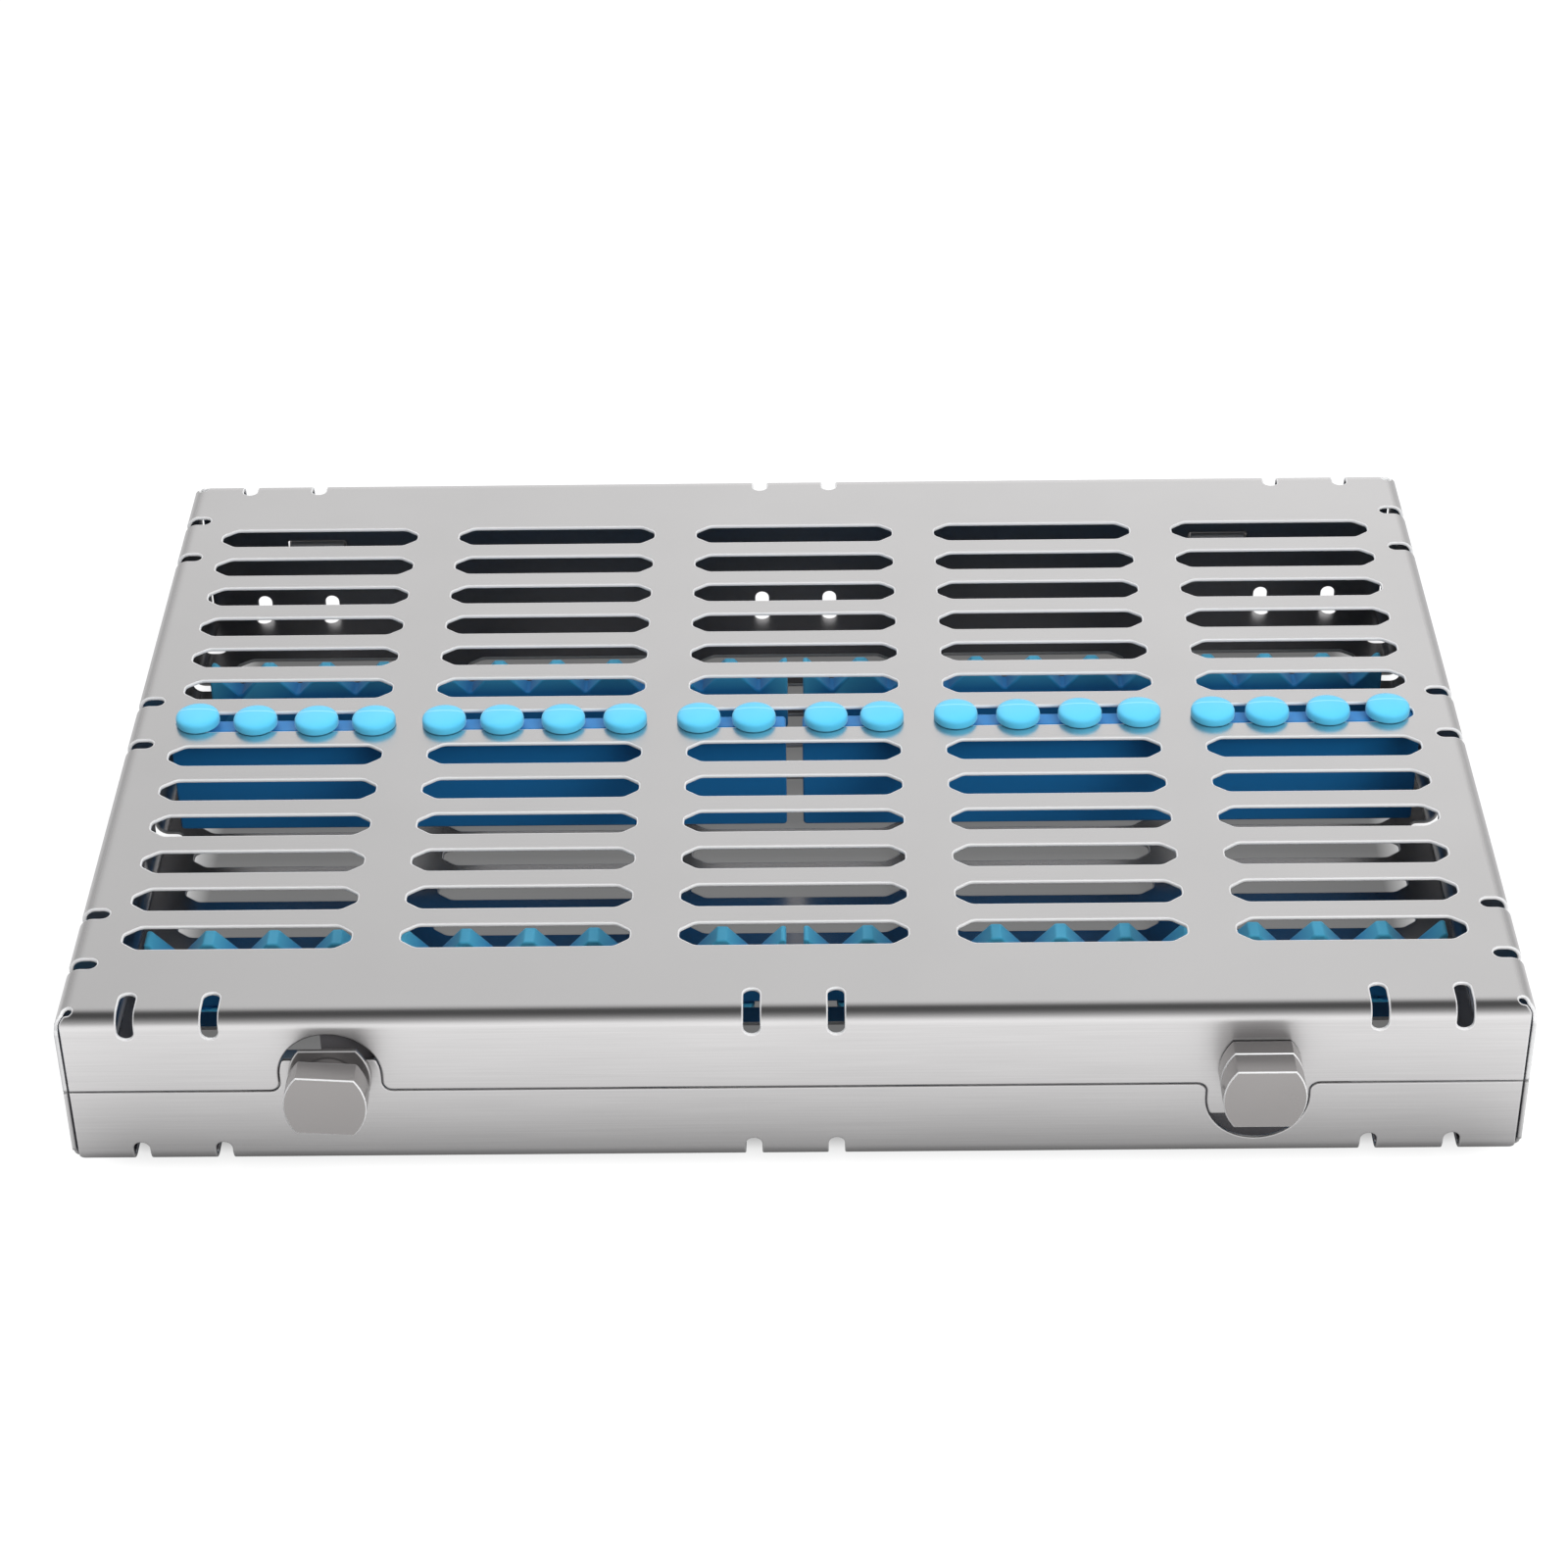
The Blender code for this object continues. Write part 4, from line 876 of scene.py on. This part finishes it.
def new_material(name):
    """A material with its Principled shader: (material, tree, shader)."""
    material = bpy.data.materials.new(name)
    material.use_nodes = True
    tree = material.node_tree
    return material, tree, tree.nodes["Principled BSDF"]


def finish_shader(tree, shader, height, bump, **inputs):
    """Links of a shader's inputs, and a bump from a height mask."""
    depth = {"Height": height, "Strength": bump, "Distance": BUMP_DEPTH}
    inputs["Normal"] = add_node(tree, "ShaderNodeBump", depth).outputs["Normal"]
    for label, value in inputs.items():
        tree.links.new(value, shader.inputs[label.replace("_", " ")])


def steel(name, place, low, high, roughness, grain_scale, bump, metallic):
    """Steel whose colour and roughness drift with soft clouds, with a grain bump. The pattern
    follows Object coordinates or, where an attribute is named, the flat blank's. On the sheet the
    inner face is darkened by its mask, as painted shade. A cut rim carries a painted highlight: it
    is painted near white, and is rougher and less like a mirror. Brushed walls have faint lines,
    where a streak and the wall's mask agree."""
    material, tree, shader = new_material(name)
    on_sheet = place != "object"
    where = mesh_attribute(tree, place, "Vector") if on_sheet else object_place(tree)
    streaks = use_group(tree, grain, where, Scale=grain_scale)
    colour = mixed(tree, use_group(tree, clouds, where, Scale=18.0), low, high)
    matt = use_group(tree, clouds, where, Scale=45.0, Low=roughness[0], High=roughness[1])
    if on_sheet:
        # Painted shade: the inner face is darkened towards near black by its mask.
        colour = mixed(tree, mesh_attribute(tree, "painted_inner_shade"), colour, INNER_SHADE_COLOUR)
        brushed = mesh_attribute(tree, "brushed_wall")
        matt = mixed(tree, brushed, matt, BRUSHED_ROUGHNESS, "FLOAT")
        lines = calculated(tree, "MULTIPLY", brushed, ranged(tree, streaks, 0.2, 3.0))
        colour = mixed(tree, lines, colour, LINE_COLOUR)
    # Painted highlight: rims and chamfers are painted towards near white.
    shine = mesh_attribute(tree, "painted_rim_highlight")
    colour = mixed(tree, shine, colour, RIM_HIGHLIGHT_COLOUR)
    matt = mixed(tree, shine, matt, RIM_ROUGHNESS, "FLOAT")
    metal = ranged(tree, shine, 0.0, 1.0, metallic, RIM_METALLIC)
    finish_shader(tree, shader, streaks, bump, Base_Color=colour, Roughness=matt, Metallic=metal)
    return material


def silicone():
    """Matt silicone: two near blues in soft clouds and a very fine moulded texture. Inside the
    cassette it turns a deeper blue, as painted shade, and the mould's parting line crosses each
    head a little behind its middle: it shows where the distance from that place is small."""
    material, tree, shader = new_material("blue_silicone")
    place = object_place(tree)
    matt = use_group(tree, clouds, place, Scale=200.0, Low=0.42, High=0.55)
    colour = mixed(tree, use_group(tree, clouds, place, Scale=90.0), *SILICONE_BLUES)
    # Painted shade: silicone inside the cassette turns a deeper blue.
    colour = mixed(tree, mesh_attribute(tree, "painted_shade"), colour, SHADE_BLUE)
    off_line = calculated(tree, "SUBTRACT", mesh_attribute(tree, "head_across"), MOULD_LINE)
    line = ranged(tree, calculated(tree, "ABSOLUTE", off_line), 0.22 * MM, 0.08 * MM, 0.0, LINE_STRENGTH)
    colour = mixed(tree, line, colour, LINE_BLUE)
    for label, value in (("Sheen Weight", 0.25), ("Sheen Roughness", 0.5), ("Specular IOR Level", 0.7)):
        shader.inputs[label].default_value = value
    finish_shader(tree, shader, use_group(tree, clouds, place, Scale=2500.0), 0.2, Base_Color=colour, Roughness=matt)
    return material


# Pattern's place, the two colours, roughness, grain scale, bump and metallic share of each steel.
STEELS = {
    "rolled_sheet": ("blank_place", (0.70, 0.69, 0.69), (0.72, 0.71, 0.71), (0.23, 0.27), (40, 2600, 2600), 0.10, 1.0),
    # The latch parts inside are painted dark, as painted shade where they sit behind the front wall.
    "latch_shade_steel": ("object", (0.18, 0.17, 0.18), (0.23, 0.22, 0.23), (0.40, 0.48), (300, 2600, 300), 0.12, 0.4),
    "machined_steel": ("object", (0.33, 0.315, 0.31), (0.36, 0.345, 0.34), (0.22, 0.28), (900, 900, 900), 0.08, 0.75),
}
rolled, latch_shade, machined = (steel(name, *look) for name, look in STEELS.items())
by_slot = {"tray_steel": latch_shade, "turned_steel": machined, "silicone": silicone()}
slots = {item["node"]: item["material_slot"] for item in frame["record"]["subparts"]}
for name, node in frame["nodes"].items():
    node.data.materials.clear()
    node.data.materials.append(by_slot[slots[name]])
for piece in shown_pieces():
    if not piece.data.materials:
        sheet = "blank_place" in piece.data.attributes
        piece.data.materials.append(rolled if sheet else by_slot[piece["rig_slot"]])
print("materials:", [material.name for material in bpy.data.materials])

# %% [markdown]
# ## Stage, light and camera
# The object stands on a white floor in plain soft light. Polished steel shows its surroundings,
# so these matter as much as the lamps: white behind and below, and darker overhead and towards
# the viewer, as in a room with the light at the back. That dark zone is what draws the dark line
# along the front bend. Greys along a line, of the sky or of the floor, are colour ramps.

# %% Stage
FLOOR_HALF, FLOOR_GREY = 4.0, 0.12
FOOTPRINT = (HALF_LENGTH - 14 * MM, HALF_WIDTH - 14 * MM, 0)
FLOOR_REACH = 76.0
# What a reflection and what the camera sees on the floor: (mm outside the footprint, brightness).
# The dark values near and under the footprint are a painted shadow.
FLOOR_GLOSS = ((0, 0.06), (12, 0.10), (18, 0.20), (26, 0.44), (38, 0.76), (52, 0.93), (70, 1.12))
FLOOR_SEEN = ((0, 0.15), (4, 0.40), (8, 0.80), (14, 0.97), (76, 0.97))
# Behind the object the floor is darker in reflections, from one Y to another.
BEHIND_START, BEHIND_END, BEHIND_TONE = -0.1, 0.05, (0.55, 0.55, 0.55)


def grey_ramp(tree, factor, stops, scale):
    """A colour ramp of greys from (position, brightness) pairs, its positions in units of a scale."""
    node = add_node(tree, "ShaderNodeValToRGB", {"Fac": factor})
    elements = node.color_ramp.elements
    for position, _ in stops[1:-1]:
        elements.new(position / scale)
    for element, (position, value) in zip(elements, stops):
        element.position = position / scale
        element.color = (value, value, value, 1)
    return node.outputs["Color"]


def footprint_distance(tree):
    """How far a point of the floor lies outside a rectangle under the object, as a share of the
    floor's reach: the length of whatever part of its absolute place exceeds the half sizes."""
    vector = object_place(tree)
    middle, none = (0, MIDDLE_Y, 0), (0, 0, 0)
    steps = (("SUBTRACT", middle), ("ABSOLUTE",), ("SUBTRACT", FOOTPRINT), ("MAXIMUM", none), ("LENGTH",))
    for operation, *value in steps:
        vector = calculated(tree, operation, vector, *value, kind="ShaderNodeVectorMath")
    return calculated(tree, "DIVIDE", vector, FLOOR_REACH * MM)


def seen_directly(tree):
    """1 for a ray from the camera, also through glass, and what a ray's kind says."""
    path = add_node(tree, "ShaderNodeLightPath").outputs
    return calculated(tree, "MAXIMUM", path["Is Camera Ray"], path["Is Transmission Ray"]), path["Is Glossy Ray"]


def white_floor():
    """A matt floor that glows for the camera and for reflections only. Under the object it carries
    a painted shadow, and for reflections a painted shadow that brightens away from the object;
    behind the object it is darker in reflections."""
    material, tree, shader = new_material("white_floor")
    tree.nodes.remove(shader)
    share = footprint_distance(tree)
    depth = add_node(tree, "ShaderNodeSeparateXYZ", {0: object_place(tree)}).outputs["Y"]
    behind = ranged(tree, depth, BEHIND_START, BEHIND_END)
    gloss = grey_ramp(tree, share, FLOOR_GLOSS, FLOOR_REACH)
    gloss = mixed(tree, behind, gloss, BEHIND_TONE, blend="MULTIPLY")
    direct, reflection = seen_directly(tree)
    tone = mixed(tree, direct, gloss, grey_ramp(tree, share, FLOOR_SEEN, FLOOR_REACH))
    strength = calculated(tree, "MAXIMUM", direct, reflection)
    matt = add_node(tree, "ShaderNodeBsdfDiffuse", {"Color": (FLOOR_GREY, FLOOR_GREY, FLOOR_GREY, 1)})
    glow = add_node(tree, "ShaderNodeEmission", {"Color": tone, "Strength": strength})
    both = add_node(tree, "ShaderNodeAddShader", {0: matt.outputs[0], 1: glow.outputs[0]})
    tree.links.new(both.outputs[0], tree.nodes["Material Output"].inputs["Surface"])
    return material


floor_mesh = bpy.data.meshes.new("floor")
corners = np.array(((-1, -1, 0), (1, -1, 0), (1, 1, 0), (-1, 1, 0))) * FLOOR_HALF
floor_mesh.from_pydata(corners.tolist(), [], [(0, 1, 2, 3)])
floor_mesh.materials.append(white_floor())
floor = bpy.data.objects.new("floor", floor_mesh)
bpy.context.scene.collection.objects.link(floor)
print("floor:", 2 * FLOOR_HALF, "m wide")

# %% World
# What a reflection sees: (degrees from the rear horizon over the zenith to the front one, brightness).
SKY = (
    (0, 1.0), (28, 0.93), (34, 0.84), (39, 0.76), (48, 0.66), (58, 0.50), (68, 0.32), (78, 0.13), (86, 0.08),
    (110, 0.08), (120, 0.13), (130, 0.20), (140, 0.33), (150, 0.45), (160, 0.64), (169, 0.93), (180, 1.02),
)
# How much of that is left towards the sides, by the direction's X from -1 to 1, here plus 1.
SIDES = (
    (0, 0.30), (0.25, 0.42), (0.5, 0.58), (0.7, 0.78), (0.85, 0.91), (1.0, 1.0), (1.12, 1.07), (1.25, 1.05),
    (1.4, 0.85), (1.58, 0.60), (1.75, 0.45), (2, 0.35),
)
DAYLIGHT = (0.44, 0.45, 0.47)

world = bpy.data.worlds.new("studio")
bpy.context.scene.world = world
world.use_nodes = True
tree = world.node_tree
direction = add_node(tree, "ShaderNodeTexCoord").outputs["Generated"]
axes = add_node(tree, "ShaderNodeSeparateXYZ", {0: direction}).outputs
angle = calculated(tree, "ARCTAN2", axes["Z"], axes["Y"])
sky = grey_ramp(tree, calculated(tree, "DIVIDE", angle, np.pi), SKY, 180)
sideways = grey_ramp(tree, ranged(tree, axes["X"], -1, 1), SIDES, 2)
around = calculated(tree, "MULTIPLY", sky, sideways, kind="ShaderNodeVectorMath")
direct, reflection = seen_directly(tree)
light = mixed(tree, direct, mixed(tree, reflection, DAYLIGHT, around), (1, 1, 1))
tree.links.new(light, tree.nodes["Background"].inputs["Color"])
print("world:", world.name)


# %% Lamps
def add_lamp(name, place, power, size):
    """A soft square lamp aimed at the origin, which lights but isn't seen in reflections."""
    light = bpy.data.lights.new(name, "AREA")
    light.energy, light.size = power, size
    lamp = bpy.data.objects.new(name, light)
    bpy.context.scene.collection.objects.link(lamp)
    lamp.location = place
    lamp.rotation_euler = (-Vector(place)).to_track_quat("-Z", "Y").to_euler()
    lamp.visible_glossy = False


add_lamp("rear_lamp", (-0.35, 0.55, 0.9), 5.0, 0.8)
add_lamp("front_lamp", (0.5, -0.7, 0.8), 10.0, 0.8)
print("lamps:", [light.name for light in bpy.data.lights])

# %% Camera
# The lens and place follow from the perspective of the slot grid. The place is in mm from the tray's
# middle, and the turns are in degrees about X, Y and Z.
LENS, SENSOR = 83.32, 36.0
CAMERA_PLACE = (5.1, -635.1, 461.9)
CAMERA_TURNS = (("Z", -0.278), ("X", -55.090), ("Y", -0.959))

lens = bpy.data.cameras.new("camera")
lens.lens, lens.sensor_width = LENS, SENSOR
camera = bpy.data.objects.new("camera", lens)
bpy.context.scene.collection.objects.link(camera)
turn = Matrix.Identity(3)
for axis, degrees in CAMERA_TURNS:
    turn = turn @ Matrix.Rotation(np.radians(degrees), 3, axis)
place = Vector(CAMERA_PLACE) * MM + Vector((0, MIDDLE_Y, FLOOR_Z))
camera.matrix_world = Matrix.Translation(place) @ turn.transposed().to_4x4()
bpy.context.scene.camera = camera
bpy.context.scene.view_settings.view_transform = "Standard"
print("camera at", tuple(place))

# %% [markdown]
# ## Update the scene
# The scene's placements are brought up to date.

# %% Update the scene
bpy.context.view_layer.update()
